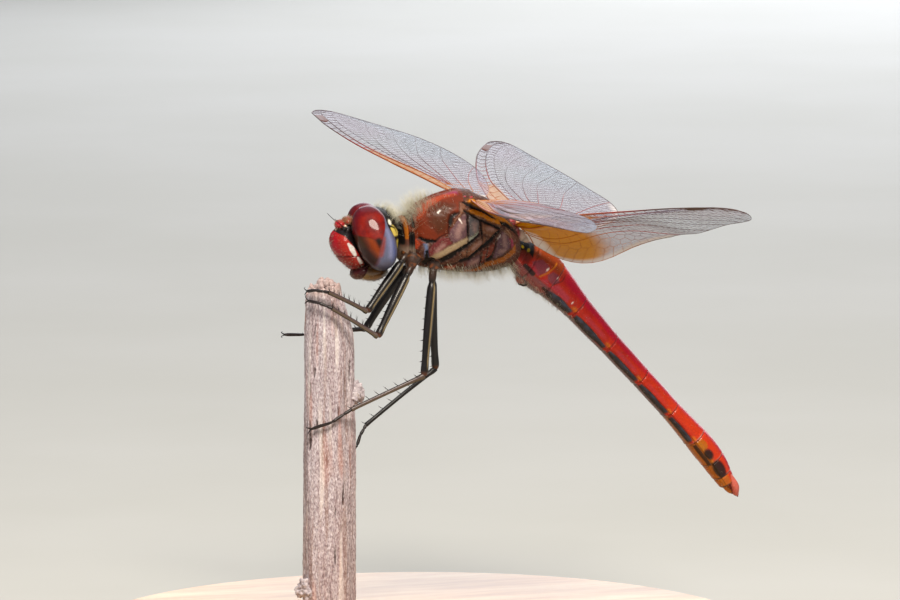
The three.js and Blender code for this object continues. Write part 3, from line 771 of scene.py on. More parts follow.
# %% Face finishes
def cuticle(
    name, base_codes, marks, roughness=0.3, patch_mm=0.5, pit_mm=0.09, pit_depth=0.01, gloss=0.3, **sockets,
):
    """Hard insect skin: clear waxy gloss over pigment, with fine pits."""
    finish, tree, shader, where = new_finish(
        name, Roughness=roughness, Coat_Weight=gloss, Coat_Roughness=0.16, **sockets,
    )
    base = mottled(tree, where, patch_mm, base_codes, detail=4, sharpness=0.2)
    cloud = mottled(tree, where, 0.12, ["#B4B4B4", "#FFFFFF"], detail=2, sharpness=0.1)
    marked = layered(tree, base, marks)
    mixed = add(tree, "ShaderNodeMix", {0: 0.5, 6: marked, 7: cloud}, **MULTIPLIED)
    tree.links.new(mixed.outputs[2], shader.inputs["Base Color"])
    pits = add(tree, "ShaderNodeTexVoronoi", {"Vector": where, "Scale": 1 / (pit_mm * MM)})
    grain(tree, shader, pits.outputs["Distance"], pit_depth)
    return finish


red_face = cuticle(
    "crimson face cuticle",
    ["#8A041C", "#B20424", "#A2081A"],
    [
        ("orange", "#9E2010"), ("brick", "#8C2616"), ("maroon", "#4A121A"), ("white", "#D2CCC8"),
        ("tan", "#7C5236"), ("black", "#120A0E"),
    ],
    roughness=0.5, patch_mm=0.22, pit_mm=0.07, pit_depth=0.02, gloss=0.2, Specular_IOR_Level=0.15,
)
brown_lip = cuticle(
    "olive brown lip cuticle", ["#4E3010", "#64401A", "#744C1E"],
    [("black", "#1A120C"), ("pale", "#9A7A40")],
)
head_back = cuticle(
    "black and yellow rear head cuticle",
    ["#120E0C", "#1C1614"],
    [("yellow", "#D6BF5C"), ("olive", "#C0AC48"), ("white", "#E4E0D0"), ("black", "#0E0A0A")],
    roughness=0.6, gloss=0.1, Specular_IOR_Level=0.15,
)


# %% [markdown]
# ## Limbs
#
# Legs, claspers and even the bent block of the face are round bodies along a bending route. One rule
# makes them all: a route of a few points, a thickness for each place along it, and a direction that the
# section keeps. The thickness may be two numbers, so that a limb can be wider than it is deep.

# %% Limb rule
def along(route, steps):
    """Evenly spaced points on a smooth curve through a few points."""
    route = np.array(route, float)
    places = np.concatenate([[0], np.cumsum(np.linalg.norm(np.diff(route, axis=0), axis=1))])
    rule = through(np.column_stack([places, route]))
    return rule(np.linspace(0, places[-1], steps))


def limb(route, thickness, reference, close=0.02):
    """A rule for a round limb. thickness(share) is its radius, or two: towards the reference and across."""
    path = along(route, 160)
    span = np.linspace(0, 1, len(path))
    way = np.gradient(path, axis=0)
    way /= np.linalg.norm(way, axis=1, keepdims=True)

    def rule(u, v):
        share = np.clip((u - close) / (1 - 2 * close), 0, 1)
        closing = rounded(np.minimum(u, 1 - u) / close)[..., None]
        at = np.stack([np.interp(share, span, path[:, k]) for k in range(3)], axis=-1)
        to = np.stack([np.interp(share, span, way[:, k]) for k in range(3)], axis=-1)
        across = np.cross(to, np.array(reference, float))
        across /= np.linalg.norm(across, axis=-1, keepdims=True)
        up = np.cross(across, to)
        angle = (v * math.tau)[..., None]
        radius = thickness(share) * closing
        return at + radius[..., :1] * np.cos(angle) * up + radius[..., -1:] * np.sin(angle) * across

    return rule


# %% Forehead and clypeus
FACE_ROUTE = [
    (1.22, 0, 28.8), (1.08, 0, 28.2), (1.12, 0, 27.8), (1.36, 0, 27.4), (1.7, 0, 27.0), (2.05, 0, 26.6),
    (2.3, 0, 26.3),
]
face_size = through([
    [0, 0.85, 0.42], [0.06, 1.15, 0.66], [0.2, 1.45, 0.9], [0.36, 1.56, 0.93], [0.55, 1.6, 0.92],
    [0.75, 1.55, 0.88], [0.9, 1.4, 0.8], [1, 0.9, 0.55],
])
face_rule = limb(FACE_ROUTE, face_size, (0, 1, 0), 0.04)
face_sheet = rolled(190, 190, lambda u, v: turn_head(face_rule(u, v)))
face = piece("face_forehead_and_clypeus", face_sheet, red_face, "face", ["frons", "clypeus"])
straight = straight_head(places_of(face))
x, y, z = straight.T
flat = straight[:, [0, 2]]
flank = np.abs(y)
# The seam under the forehead runs level. Two lobes stand above it, and the clypeus has a step below it.
seam_level = 26.99 + 0.05 * (flank / 1.5) ** 2
lower_seam = z - 26.2 - 0.1 * flank
front = smooth(-x, -1.7, -1.1) * smooth(-flank, -1.5, -1.2)
relief = 0.07 * ridge(flank - 0.62, 0.38) * smooth(z, 27.1, 27.6) * front
groove = 0.14 * ridge(y, 0.13) * smooth(z, 27.9, 28.5) + 0.05 * ridge(y, 0.1) * smooth(z, 27.2, 28.0)
relief -= groove * front
relief -= 0.06 * ridge(z - seam_level, 0.045) + 0.05 * ridge(lower_seam, 0.04) * smooth(-z, -26.6, -26.4)
relief += 0.035 * ridge(z - 26.62, 0.12) * front
relief -= 0.03 * ridge(x - 1.5 + 0.9 * (z - 27.2), 0.04) * smooth(-z, -26.9, -26.8)
relief += 0.012 * smear(straight, 0.12, 3.0)
push(face, relief)
black_edge = through([
    [26.2, 2.45], [26.75, 2.22], [27.23, 1.94], [27.57, 1.72], [28.06, 1.35], [28.36, 1.08], [28.5, 0.95],
    [28.68, 0.5], [28.9, 0.2],
])
above_seam = smooth(z - seam_level, -0.03, 0.05)
paint(
    face,
    orange=0.85 * smooth(x - 0.1 * (28.2 - z), 0.15, 0.85) * above_seam,
    brick=(1 - above_seam) * 0.85,
    maroon=0.45 * ridge(z - seam_level, 0.06) + 0.6 * ridge(lower_seam, 0.05)
    + 0.4 * smooth(-x, -0.42, -0.1) + 0.45 * smooth(-z, -26.3, -25.9),
    white=smooth(flank, 0.9, 1.15) * strokes(flat, [
        ([(1.2, 27.98), (1.46, 27.62), (1.66, 27.2)], [0.16, 0.4, 0.26]),
        ([(1.9, 26.96), (2.12, 26.6)], [0.2, 0.24]),
    ]),
    black=smooth(x - black_edge(z)[..., 0], -0.02, 0.06) * (1 - 0.6 * smooth(-z, -26.6, -26.2)),
)


# %% Vertex and lips
def flap(unit):
    """The upper lip: a smooth flap with a shallow notch in its middle."""
    notch = 0.09 * ridge(unit[..., 1], 0.12) * smooth(-unit[..., 0], 0.2, 0.9)
    return 0.03 * ridge(unit[..., 2] + 0.2, 0.3) - notch


def plates(unit):
    """The lower lip: a middle plate between two side plates."""
    y = np.abs(unit[..., 1])
    return 0.05 * smooth(-unit[..., 2], 0, 0.6) * (0.6 * ridge(y - 0.6, 0.3) - 1.6 * ridge(y - 0.27, 0.06))


def cleft(unit):
    """The vertex, with a dip in its middle."""
    return -0.08 * ridge(unit[..., 1], 0.2) * smooth(unit[..., 2], 0.2, 0.8)


# For each part: its middle, half sizes, nod, relief, finish, slot, and how many faces it has each way.
LIPS = {
    "vertex": ((0.86, 0, 29.2), (0.43, 0.56, 0.37), 0.3, cleft, red_face, "face", 80),
    "vertex_rear": ((1.38, 0, 29.42), (0.42, 0.62, 0.36), -0.2, None, red_face, "face", 60),
    "labrum": ((2.36, 0, 25.9), (0.86, 1.3, 0.56), 0.55, flap, red_face, "lip", 120),
    "labium": ((3.08, 0, 25.83), (1.2, 1.45, 0.7), 0.05, plates, brown_lip, "lip", 120),
}
lips, spots = {}, {}
for name, (centre, semi, pitch, relief, finish, slot_name, fineness) in LIPS.items():
    sheet = rolled(fineness, fineness, swelling(centre, semi, pitch, relief))
    lips[name] = piece(f"face_{name}", sheet, finish, slot_name, [] if name == "vertex_rear" else [name])
    spots[name] = straight_head(places_of(lips[name]))
x, y, z = spots["vertex"].T
paint(
    lips["vertex"],
    brick=0.5 * smooth(x, 0.6, 0.9),
    tan=0.5 * smooth(z, 29.35, 29.5),
    black=smooth(-z, -29.05, -28.9),
)
x, y, z = spots["vertex_rear"].T
paint(
    lips["vertex_rear"],
    tan=0.95 - 0.4 * smooth(smear(spots["vertex_rear"], 0.25, 5.0), 0.0, 0.4),
    black=smooth(-z + 0.2 * x, -28.98, -28.88),
)
x, y, z = spots["labrum"].T
paint(
    lips["labrum"],
    orange=0.2,
    maroon=0.95,
    tan=0.35 * smooth(z, 25.95, 25.6),
    black=0.5 * smooth(np.abs(y), 0.9, 1.2),
)
x, y, z = spots["labium"].T
paint(
    lips["labium"],
    black=0.7 * ridge(np.abs(y) - 0.4, 0.05) * smooth(-z, -25.9, -25.6) + 0.6 * smooth(x, 3.6, 4.3),
    pale=0.7 * smooth(-z, -26.0, -25.5) * smooth(-x, -3.2, -2.4),
)


# %% Back of the head
def capsule(u, v):
    """The head behind the eyes, with a hollow of radius NECK_HOLLOW round the neck."""
    points = ball(u, v) * np.array([1.64, 2.72, 2.2]) + np.array([3.38, 0, 28.2])
    offset = points - NECK_MIDDLE
    reach = np.linalg.norm(offset, axis=-1, keepdims=True)
    return turn_head(np.where(reach < NECK_HOLLOW, NECK_MIDDLE + offset / reach * NECK_HOLLOW, points))


NECK_MIDDLE, NECK_HOLLOW = np.array([6.45, 0, 28.0]), 2.1
head_rear = piece("head_capsule", rolled(130, 130, capsule), head_back, "head_shell", ["head"])
flat = side_view(head_rear)
paint(
    head_rear,
    yellow=stroke(flat, [(4.2, 29.1), (4.5, 28.66)], [0.42, 0.62], 0.06),
    olive=stroke(flat, [(4.7, 28.15), (4.8, 27.6), (4.7, 26.9)], [0.4, 0.44, 0.3], 0.07),
    white=spot(flat, (4.03, 29.5), (0.15, 0.2)),
    black=stroke(flat, [(3.9, 29.3), (4.4, 29.1), (4.6, 28.7)], [0.14, 0.1, 0.04], 0.04)
    + stroke(flat, [(4.2, 28.4), (4.8, 28.38)], 0.26),
)

# %% [markdown]
# ## Simple eyes, jaw hinges and feelers
#
# Three simple eyes (ocelli) sit round the vertex like glass beads. A dragonfly's feelers are two short
# bristles, each on two thick joints. Bristles, wing veins, spines and claws are all thin round strands,
# so one curve with a round bevel makes each set of them.

# %% Strands
def strands(routes, sides=4):
    """A mesh of thin round strands. Each is (points in millimetres, radii in millimetres)."""
    curve = bpy.data.curves.new("strands", "CURVE")
    curve.dimensions = "3D"
    curve.bevel_depth = MM
    curve.bevel_resolution = max(0, sides // 2 - 2)
    curve.use_fill_caps = True
    for points, radii in routes:
        spline = curve.splines.new("POLY")
        spline.points.add(len(points) - 1)
        places = np.concatenate([world(points), np.ones((len(points), 1))], axis=1)
        spline.points.foreach_set("co", places.ravel())
        spline.points.foreach_set("radius", np.broadcast_to(np.asarray(radii, float), len(points)))
    holder = bpy.data.objects.new("strands", curve)
    bpy.context.scene.collection.objects.link(holder)
    mesh = bpy.data.meshes.new_from_object(holder.evaluated_get(bpy.context.evaluated_depsgraph_get()))
    bpy.data.objects.remove(holder)
    bpy.data.curves.remove(curve)
    return mesh


feeler_black = cuticle("black bristle cuticle", ["#161012", "#2A1E1E"], [], roughness=0.4)
glass_bead = cuticle("glassy simple eye", ["#C9A08C", "#E0BFA8"], [], roughness=0.1, pit_depth=0.0)
beads = bmesh.new()
OCELLI = [((0.62, 0, 28.86), 0.15), ((1.12, -0.58, 29.12), 0.13), ((1.12, 0.58, 29.12), 0.13)]
for centre, radius in OCELLI:
    made = bmesh.ops.create_icosphere(beads, subdivisions=3, radius=1.0)["verts"]
    set_places(made, turn_head(np.array(centre) + radius * np.array([vert.co for vert in made])))
piece("ocelli", beads, glass_bead, "eye")

FEELER_ROUTE = [(1.3, 0.78, 28.82), (0.95, 1.0, 29.1), (0.5, 1.35, 29.5), (0.2, 1.7, 29.8)]
feeler_radius = through([
    [0, 0.15], [0.08, 0.16], [0.13, 0.08], [0.17, 0.12], [0.26, 0.11], [0.31, 0.045], [1, 0.018],
])(np.linspace(0, 1, 40))[:, 0]
for side, name in ((LEFT, "left"), (RIGHT, "right")):
    path = turn_head(along(np.array(FEELER_ROUTE) * [1, side, 1], 40))
    piece(f"feeler_{name}", strands([(path, feeler_radius)], 12), feeler_black, "feeler", [f"antenna_{name}"])

# %% [markdown]
# ## The thorax
#
# The thorax is one barrel of fused plates. Sutures run slantwise over its side, because the whole
# barrel leans back, and each plate bulges a little between them. One dense sheet is lofted through
# stations, then every seam is pressed in and every plate is raised along the normals. The same strokes
# that press the seams also colour them, so paint and relief can't drift apart.

# %% Thorax form
# Each station is a place along the body, half the width there, the top and the bottom.
thorax_profile = through([
    [6.05, 1.2, 29.9, 26.6],
    [6.5, 1.72, 30.5, 26.2],
    [7.4, 2.15, 30.95, 25.9],
    [8.5, 2.4, 31.3, 25.68],
    [9.6, 2.47, 31.5, 25.52],
    [10.8, 2.42, 31.42, 25.45],
    [11.9, 2.3, 31.0, 25.48],
    [12.8, 2.1, 30.3, 25.6],
    [13.6, 1.8, 29.3, 25.8],
    [14.15, 1.25, 28.3, 26.15],
])
SECTION = 0.88


def bowed(value, power):
    """A power of a sine or cosine that keeps its sign."""
    return np.sign(value) * np.abs(value) ** power


def barrel(profile, start, end, close=0.06):
    """A rule for a body along X with closed ends. Its seam runs under the belly."""

    def rule(u, v):
        inner = np.clip((u - close) / (1 - 2 * close), 0, 1)
        x = start + (end - start) * inner
        closing = rounded(np.minimum(u, 1 - u) / close)
        half_width, top, bottom = np.moveaxis(profile(x), -1, 0)
        angle = (v - 0.25) * math.tau
        middle, half_height = (top + bottom) / 2, (top - bottom) / 2
        y = half_width * closing * bowed(np.cos(angle), SECTION)
        z = middle + half_height * closing * bowed(np.sin(angle), SECTION)
        return np.stack([x, y, z], axis=-1)

    return rule


SEAMS = [
    ([(6.8, 27.3), (6.9, 26.5), (7.5, 26.4), (7.95, 26.58), (8.44, 26.88), (8.98, 27.26), (9.52, 27.64),
      (10.0, 27.95), (10.57, 28.5)],
     [0.12, 0.34, 0.36, 0.4, 0.4, 0.36, 0.24, 0.2, 0.12]),
    (
        [(9.37, 26.54), (9.91, 26.7), (10.38, 27.12), (11.0, 27.64), (11.46, 27.99), (12.12, 28.59)],
        [0.3, 0.24, 0.2, 0.24, 0.28, 0.16],
    ),
    ([(9.5, 30.75), (10.14, 30.42), (11.15, 29.9), (11.93, 29.46)], [0.16, 0.22, 0.14, 0.08]),
    ([(9.52, 30.17), (10.45, 29.56), (11.23, 29.19), (12.2, 28.77)], 0.13),
    ([(9.66, 30.06), (9.68, 28.29)], 0.11), ([(10.61, 29.43), (10.69, 28.91), (10.76, 28.39)], 0.11),
    ([(6.3, 28.25), (6.85, 28.02), (7.3, 28.05)], [0.2, 0.3, 0.16]),
    ([(11.35, 26.52), (11.6, 26.68)], 0.32),
    ([(12.32, 29.2), (12.94, 28.95), (13.48, 28.5), (13.79, 28.1)], [0.2, 0.3, 0.24, 0.1]),
    ([(6.9, 26.45), (7.2, 26.6)], 0.5),
]
FINE_SEAMS = [
    ([(10.75, 28.24), (10.76, 27.3)], 0.09),
    ([(9.64, 27.93), (9.64, 26.9)], 0.07),
    ([(10.8, 27.06), (10.8, 26.18)], 0.09),
    ([(11.25, 27.63), (11.23, 26.9), (11.0, 26.25)], 0.1),
    ([(11.85, 27.95), (11.75, 27.2), (11.45, 26.55)], 0.12),
    ([(10.0, 25.72), (10.7, 25.95), (11.25, 26.35), (12.0, 26.55), (12.7, 26.8), (13.2, 27.25)], 0.07),
    ([(7.3, 28.05), (7.66, 28.33), (8.21, 28.6), (8.28, 29.05)], 0.1),
    ([(8.0, 26.1), (8.9, 26.3), (9.3, 26.6)], 0.1),
]
PLATES = {
    "olive": [[
        (7.12, 30.2), (7.97, 30.7), (8.9, 30.6), (8.59, 30.25), (8.28, 29.6), (8.13, 28.8), (7.51, 28.6),
        (6.95, 29.37),
    ]],
    "rim_red": [[
        (5.9, 29.3), (6.1, 30.0), (7.0, 30.9), (7.9, 31.4), (9.3, 31.6), (9.3, 31.2), (8.2, 31.0),
        (7.2, 30.45), (6.5, 29.7),
    ]],
    "pink": [
        [(12.9, 28.0), (13.2, 28.0), (13.35, 27.5), (13.15, 27.3)],
        [(8.4, 31.3), (9.4, 31.25), (9.6, 31.7), (8.5, 31.8)],
    ],
    "mauve": [
        [
            (9.6, 29.99), (9.64, 28.4), (9.21, 28.13), (8.59, 27.86), (8.21, 28.32), (8.36, 28.87),
            (8.75, 29.29), (9.21, 29.86),
        ],
        [
            (9.56, 26.24), (9.91, 26.59), (10.61, 26.96), (10.76, 26.62), (10.76, 26.18), (10.53, 25.86),
            (9.99, 25.78), (9.64, 25.9),
        ],
    ],
    "violet": [[
        (12.04, 28.18), (12.55, 28.68), (12.98, 28.22), (13.05, 27.4), (12.39, 26.77), (11.66, 26.62),
        (11.89, 27.53),
    ]],
    "russet": [
        [
            (10.86, 27.21), (11.39, 27.63), (11.89, 28.04), (11.77, 27.31), (11.54, 26.66),
            (11.15, 26.31), (10.86, 26.25),
        ],
        [(9.5, 26.35), (9.75, 26.4), (9.8, 25.95), (9.6, 25.9)],
    ],
    "wine": [[
        (8.21, 28.34), (7.66, 28.25), (7.12, 27.86), (6.87, 27.39), (7.03, 26.95), (7.39, 27.07),
        (7.9, 27.42), (8.59, 27.86),
    ]],
    "slate": [[(9.74, 29.91), (10.49, 29.43), (10.52, 28.77), (10.07, 28.38), (9.74, 28.29)]],
    "cream": [[
        (7.04, 26.96), (7.3, 26.75), (7.82, 26.84), (8.59, 27.3), (9.64, 27.86), (9.64, 28.32),
        (8.9, 28.0), (7.9, 27.42),
    ]],
    "ice": [[(9.74, 28.29), (10.07, 28.42), (10.49, 28.77), (10.45, 28.5), (9.99, 28.1), (9.74, 27.96)]],
    "tan": [
        [
            (9.14, 27.2), (9.6, 27.47), (10.69, 28.2), (11.12, 28.3), (11.04, 27.94), (10.45, 27.3),
            (9.91, 26.9), (9.37, 26.87),
        ],
        [(10.7, 29.2), (11.15, 29.17), (12.04, 28.7), (11.42, 28.18), (11.04, 28.38), (10.7, 28.58)],
        [
            (9.25, 30.75), (9.6, 30.8), (9.72, 30.28), (9.37, 30.0), (8.48, 29.05), (8.36, 29.16),
            (9.06, 29.94),
        ],
    ],
    "sand": [[
        (12.39, 28.61), (12.78, 28.81), (13.09, 28.43), (13.32, 27.69), (13.05, 27.55), (12.94, 28.14),
    ]],
    "amber": [
        [
            (9.8, 30.11), (10.14, 30.34), (11.15, 29.92), (12.1, 29.5), (12.3, 28.95), (11.54, 29.22),
            (10.76, 29.62), (9.99, 29.95),
        ],
        [
            (9.75, 30.8), (10.3, 30.95), (11.3, 30.3), (12.5, 29.6), (13.3, 28.9), (12.9, 28.8),
            (12.2, 29.3), (11.0, 30.1), (10.1, 30.6),
        ],
    ],
    "yellow": [
        [(9.9, 25.78), (10.6, 25.85), (11.2, 26.3), (12.0, 26.5), (12.65, 26.75), (13.2, 27.2),
         (13.5, 27.6), (13.6, 26.9), (12.7, 26.3), (11.3, 25.85), (10.6, 25.5), (9.9, 25.5)],
    ],
    "coral": [
        [(5.9, 28.15), (6.15, 28.2), (6.42, 27.85), (6.3, 27.4), (5.98, 27.45)],
        [(6.07, 27.1), (6.34, 27.12), (6.54, 26.67), (6.38, 26.4), (6.11, 26.54)],
        [(8.28, 26.22), (9.06, 26.19), (9.02, 25.78), (8.28, 25.85)],
    ],
    "blue": [[(6.6, 27.85), (6.8, 27.9), (6.88, 27.35), (7.08, 26.65), (6.94, 26.45), (6.72, 26.95)]],
    "pit": [[
        (9.15, 30.06), (8.75, 30.11), (8.44, 29.89), (8.22, 29.46), (8.28, 29.02), (8.52, 29.23),
        (8.63, 29.59), (8.94, 29.87),
    ]],
}
FRONT_PLATE_EDGE = through([
    [6.0, 27.8], [7.0, 27.95], [7.7, 28.15], [8.3, 28.6], [8.8, 29.3], [9.3, 30.3], [9.9, 31.6],
])


# %% Thorax shell
thorax_shell = cuticle(
    "thorax cuticle, red brown under a bloom",
    ["#42241A", "#523026", "#5E3A2E"],
    [
        ("front", "#6E260A"), ("olive", "#4C220A"), ("rim_red", "#A8401C"), ("mauve", "#64464C"),
        ("violet", "#5C424E"), ("russet", "#722E1E"), ("wine", "#68282A"), ("slate", "#5E5C60"),
        ("cream", "#A08A6C"), ("ice", "#9AA294"), ("tan", "#744A34"), ("sand", "#8E6850"),
        ("yellow", "#965208"), ("amber", "#C87808"), ("coral", "#A83E20"), ("blue", "#66789E"),
        # edge is painted shade just inside the border of each plate.
        ("pink", "#903050"), ("edge", "#34140E"), ("belly", "#4E3A30"), ("fine", "#1E0E0C"),
        # glow is a painted soft highlight on the plates, and glint is a painted glint.
        ("pit", "#120C0A"), ("black", "#0C090A"), ("pale", "#9A8878"), ("glow", "#B08C84"),
        ("glint", "#F0E4DC"),
    ],
    roughness=0.6, patch_mm=0.22, pit_mm=0.1, pit_depth=0.014, gloss=0.07, Specular_IOR_Level=0.16,
)
thorax_sheet = rolled(230, 300, barrel(thorax_profile, 6.08, 14.12))
thorax = piece("thorax_shell", thorax_sheet, thorax_shell, "thorax_shell", ["thorax"])
# The plates that a thin dark line of painted shade runs round, the painted soft highlights on the plates, and
# the painted glints on them.
BORDERED = ("mauve", "violet", "wine", "slate", "tan", "amber", "coral", "russet", "sand", "olive")
PAINTED_HIGHLIGHTS = [
    ([(9.35, 29.3), (8.95, 28.8), (8.9, 28.45)], 0.4), ([(10.15, 29.2), (10.2, 28.8)], 0.34),
    ([(7.5, 27.4), (7.9, 27.75)], 0.3), ([(12.5, 28.2), (12.6, 27.6)], 0.34),
    ([(10.1, 27.45), (10.6, 27.85)], 0.24), ([(11.2, 28.8), (11.6, 28.75)], 0.26),
    ([(10.1, 26.3), (10.5, 26.5)], 0.26), ([(12.2, 27.1), (12.6, 27.2)], 0.24),
]
GLINTS = [
    ([(9.06, 29.62), (9.24, 29.3)], 0.08), ([(7.62, 30.05), (7.78, 30.2)], 0.1),
    ([(12.0, 28.06), (12.2, 28.3)], 0.05),
]


def thorax_marks(places):
    """Every marking of the thorax at these places, in millimetres on the specimen."""
    wander = 0.06 * np.column_stack([smear(places, 0.5, 3.0), smear(places, 0.5, 8.0)])
    wander += 0.05 * np.column_stack([smear(places, 0.13, 5.0), smear(places, 0.13, 9.0)])
    flat = places[:, [0, 2]] + wander
    side = smooth(np.abs(places[:, 1]), 0.45, 0.8)
    marks = {}
    for mark, plates in PLATES.items():
        soft_edge = 0.3 if mark == "olive" else 0.1
        marks[mark] = np.maximum.reduce([patch(flat, corners, soft_edge) for corners in plates]) * side
    x, z = flat.T
    front = smooth(z - FRONT_PLATE_EDGE(x)[..., 0], -0.06, 0.06) * smooth(9.7 - x, -0.3, 0.1)
    marks["front"] = front
    rim = 0.9 * smooth(z - 0.55 * (x - 6), 30.1, 30.5) * front
    marks["rim_red"] = np.maximum(marks["rim_red"], rim)
    # Painted shade: a thin dark line just inside the border of each raised plate.
    edges = np.maximum.reduce([ridge(marks[mark] - 0.45, 0.3) for mark in BORDERED])
    marks["edge"] = 0.7 * edges * side * (1 - marks["cream"])
    marks["edge"] *= np.where(marks["olive"] > 0.05, 0.4, 1.0)
    marks["black"] = strokes(flat, SEAMS) * side
    marks["fine"] = 0.85 * strokes(flat, FINE_SEAMS, 0.04) * side
    marks["belly"] = smooth(-places[:, 2], -26.3, -25.8) * (1 - marks["yellow"]) * 0.9
    marks["pale"] = 0.25 * smooth(smear(places, 0.14, 30.0), 0.15, 0.45) * (1 - front) * (1 - marks["black"])
    # Painted highlights: soft pale strokes on the plates, and small painted glints on them and over the front
    # plate.
    marks["glow"] = 0.5 * strokes(flat, PAINTED_HIGHLIGHTS, 0.16) * side
    marks["glint"] = strokes(flat, GLINTS, 0.04) * side
    marks["glint"] += 0.35 * smooth(smear(places, 0.09, 60.0), 0.62, 0.72) * front * side
    return marks


places = places_of(thorax)
marks = thorax_marks(places)
x, y, z = places.T
spiracle = spot(places[:, [0, 2]], (9.02, 27.03), (0.13, 0.17), 20) * smooth(-y, 0.5, 0.8)
marks["black"] = marks["black"] * (1 - 0.75 * spiracle)
keel = ridge(y, 0.09) * smooth(z, 29.5, 30.2) * smooth(-x, -10.2, -9.4)
# How far each marking stands up from the barrel, or lies in it, in millimetres.
HEIGHTS = {
    "black": -0.13, "fine": -0.06, "edge": -0.045, "pit": -0.1, "cream": 0.06, "coral": 0.06,
    "mauve": 0.05, "tan": 0.05, "wine": 0.05, "violet": 0.05, "amber": 0.05, "slate": 0.05, "sand": 0.05,
    "russet": 0.05,
}
relief = sum(height * marks[mark] for mark, height in HEIGHTS.items()) + 0.07 * keel + 0.06 * spiracle
relief += 0.05 * smear(places, 1.1, 4.0) + 0.018 * smear(places, 0.3, 14.0) + 0.006 * smear(places, 0.1, 24.0)
# Between the wings the back is a hollow.
relief -= 0.3 * smooth(z, 29.0, 30.4) * smooth(x, 10.4, 11.2) * ridge(y, 0.8)
push(thorax, relief - 0.02)
marks["fine"] = np.maximum(marks["fine"], 0.6 * ridge(y, 0.05) * smooth(z, 29.5, 30.2))
paint(thorax, **marks)

# %% [markdown]
# ## Neck, collar and wing roots
#
# A thin neck carries the head. Behind it the first segment (prothorax) makes a collar with an upright
# lobe, and the forelegs hang from it. Between the wings the back is a hollow with small red knobs, the
# hinge plates that move the wings, and each wing grows from a fleshy red base.

# %% Collar
collar_profile = through([
    [4.62, 0.5, 28.5, 27.5],
    [5.05, 0.62, 28.7, 27.2],
    [5.3, 1.05, 29.4, 26.6],
    [5.55, 1.28, 29.75, 26.4],
    [5.8, 1.2, 29.5, 26.45],
    [5.95, 1.38, 29.78, 26.3],
    [6.15, 1.3, 29.7, 26.4],
])
collar = piece(
    "prothorax_collar", rolled(110, 150, barrel(collar_profile, 4.6, 6.2, 0.05)), thorax_shell,
    "thorax_shell", ["prothorax", "neck"],
)
flat = places_of(collar)[:, [0, 2]]
paint(
    collar,
    front=0.8 * smooth(flat[:, 0], 5.1, 5.4) * smooth(flat[:, 1], 28.0, 28.4),
    black=strokes(flat, [
        ([(5.85, 28.5), (5.9, 27.6)], 0.42), ([(6.12, 29.5), (6.05, 29.1)], 0.34),
        ([(4.9, 28.6), (4.9, 27.4)], 0.5), ([(5.2, 29.2), (5.25, 27.9)], 0.3),
    ]),
    yellow=strokes(flat, [([(5.52, 29.6), (5.5, 28.3)], 0.28)]),
    pale=0.6 * smooth(-flat[:, 1], -27.9, -27.3),
    tan=0.5 * strokes(flat, [([(6.0, 29.0), (6.0, 28.5)], 0.2)]),
)

# %% Wing roots
FORE_ROOT, HIND_ROOT = (10.3, 1.3, 30.75), (13.6, 1.3, 28.9)
knob_finish = cuticle(
    "red hinge cuticle",
    ["#8A1A2A", "#A02434", "#903424"],
    [("black", "#2A1416"), ("pale", "#A87C8C"), ("membrane", "#B4A294")],
    roughness=0.5, gloss=0.1,
)
# The middle and the half sizes of each knob. The last two are soft pale membrane behind the hindwing's root.
KNOBS = [
    ((9.75, 1.25, 30.96), (0.34, 0.26, 0.18)),
    ((10.3, 1.3, 30.85), (0.38, 0.3, 0.26)),
    ((10.9, 1.25, 30.6), (0.4, 0.28, 0.24)),
    ((11.5, 1.2, 30.35), (0.36, 0.3, 0.22)),
    ((12.2, 1.3, 29.95), (0.4, 0.3, 0.26)),
    ((12.8, 1.25, 29.5), (0.42, 0.34, 0.3)),
    ((13.35, 1.2, 29.05), (0.42, 0.36, 0.32)),
    ((10.6, 0.55, 31.0), (0.32, 0.24, 0.2)),
    ((12.2, 0.5, 30.3), (0.36, 0.28, 0.24)),
    ((13.1, 0.5, 29.5), (0.4, 0.36, 0.3)),
    ((13.45, 0.45, 28.7), (0.42, 0.5, 0.45)),
    ((13.75, 1.15, 28.55), (0.3, 0.26, 0.3)),
    ((14.1, 1.1, 28.15), (0.42, 0.26, 0.42)),
    ((14.6, 1.0, 27.88), (0.42, 0.24, 0.36)),
]
knobs = bmesh.new()
for side in (LEFT, RIGHT):
    for number, ((x, y, z), semi) in enumerate(KNOBS):
        lump(knobs, (x, y * side, z), semi, 0.25, 80 + number * 4.0)
knobs_piece = piece("wing_hinge_knobs", knobs, knob_finish, "thorax_shell")
places = places_of(knobs_piece)
blotches = 0.8 * smooth(smear(places, 0.3, 9.0), 0.15, 0.35)
paint(
    knobs_piece,
    black=np.maximum(blotches, 0.6 * ridge(places[:, 0] - 13.65, 0.2)),
    pale=0.6 * smooth(smear(places, 0.3, 19.0), 0.15, 0.4),
    membrane=0.9 * smooth(places[:, 0], 13.9, 14.15),
)

# %% [markdown]
# ## The abdomen
#
# The abdomen is ten rings on one slowly bending line. Each ring swells a little and ends in a raised
# rim that overlaps the next. A keel runs along the top, and a fold along each side parts the red back
# from the belly. One lofted sheet follows the bending line, with its place along the body and its angle
# round the body kept for every vertex, because all the markings are bands of angle on each segment.

# %% Abdomen line and sections
ABDOMEN_START, ABDOMEN_LENGTH = -1.0, 23.7
SEGMENT_ENDS = np.cumsum([0.8, 2.2, 2.85, 3.75, 3.5, 3.4, 2.85, 2.2, 1.35, 0.8])
SEGMENT_STARTS = np.concatenate([[0], SEGMENT_ENDS])
abdomen_points = np.array([
    (13.6, 27.1), (14.5, 26.5), (15.9, 25.55), (17.35, 24.2), (20.2, 21.1), (25.9, 15.0), (29.1, 11.4),
    (30.5, 9.3), (31.1, 8.3), (31.7, 7.3),
])
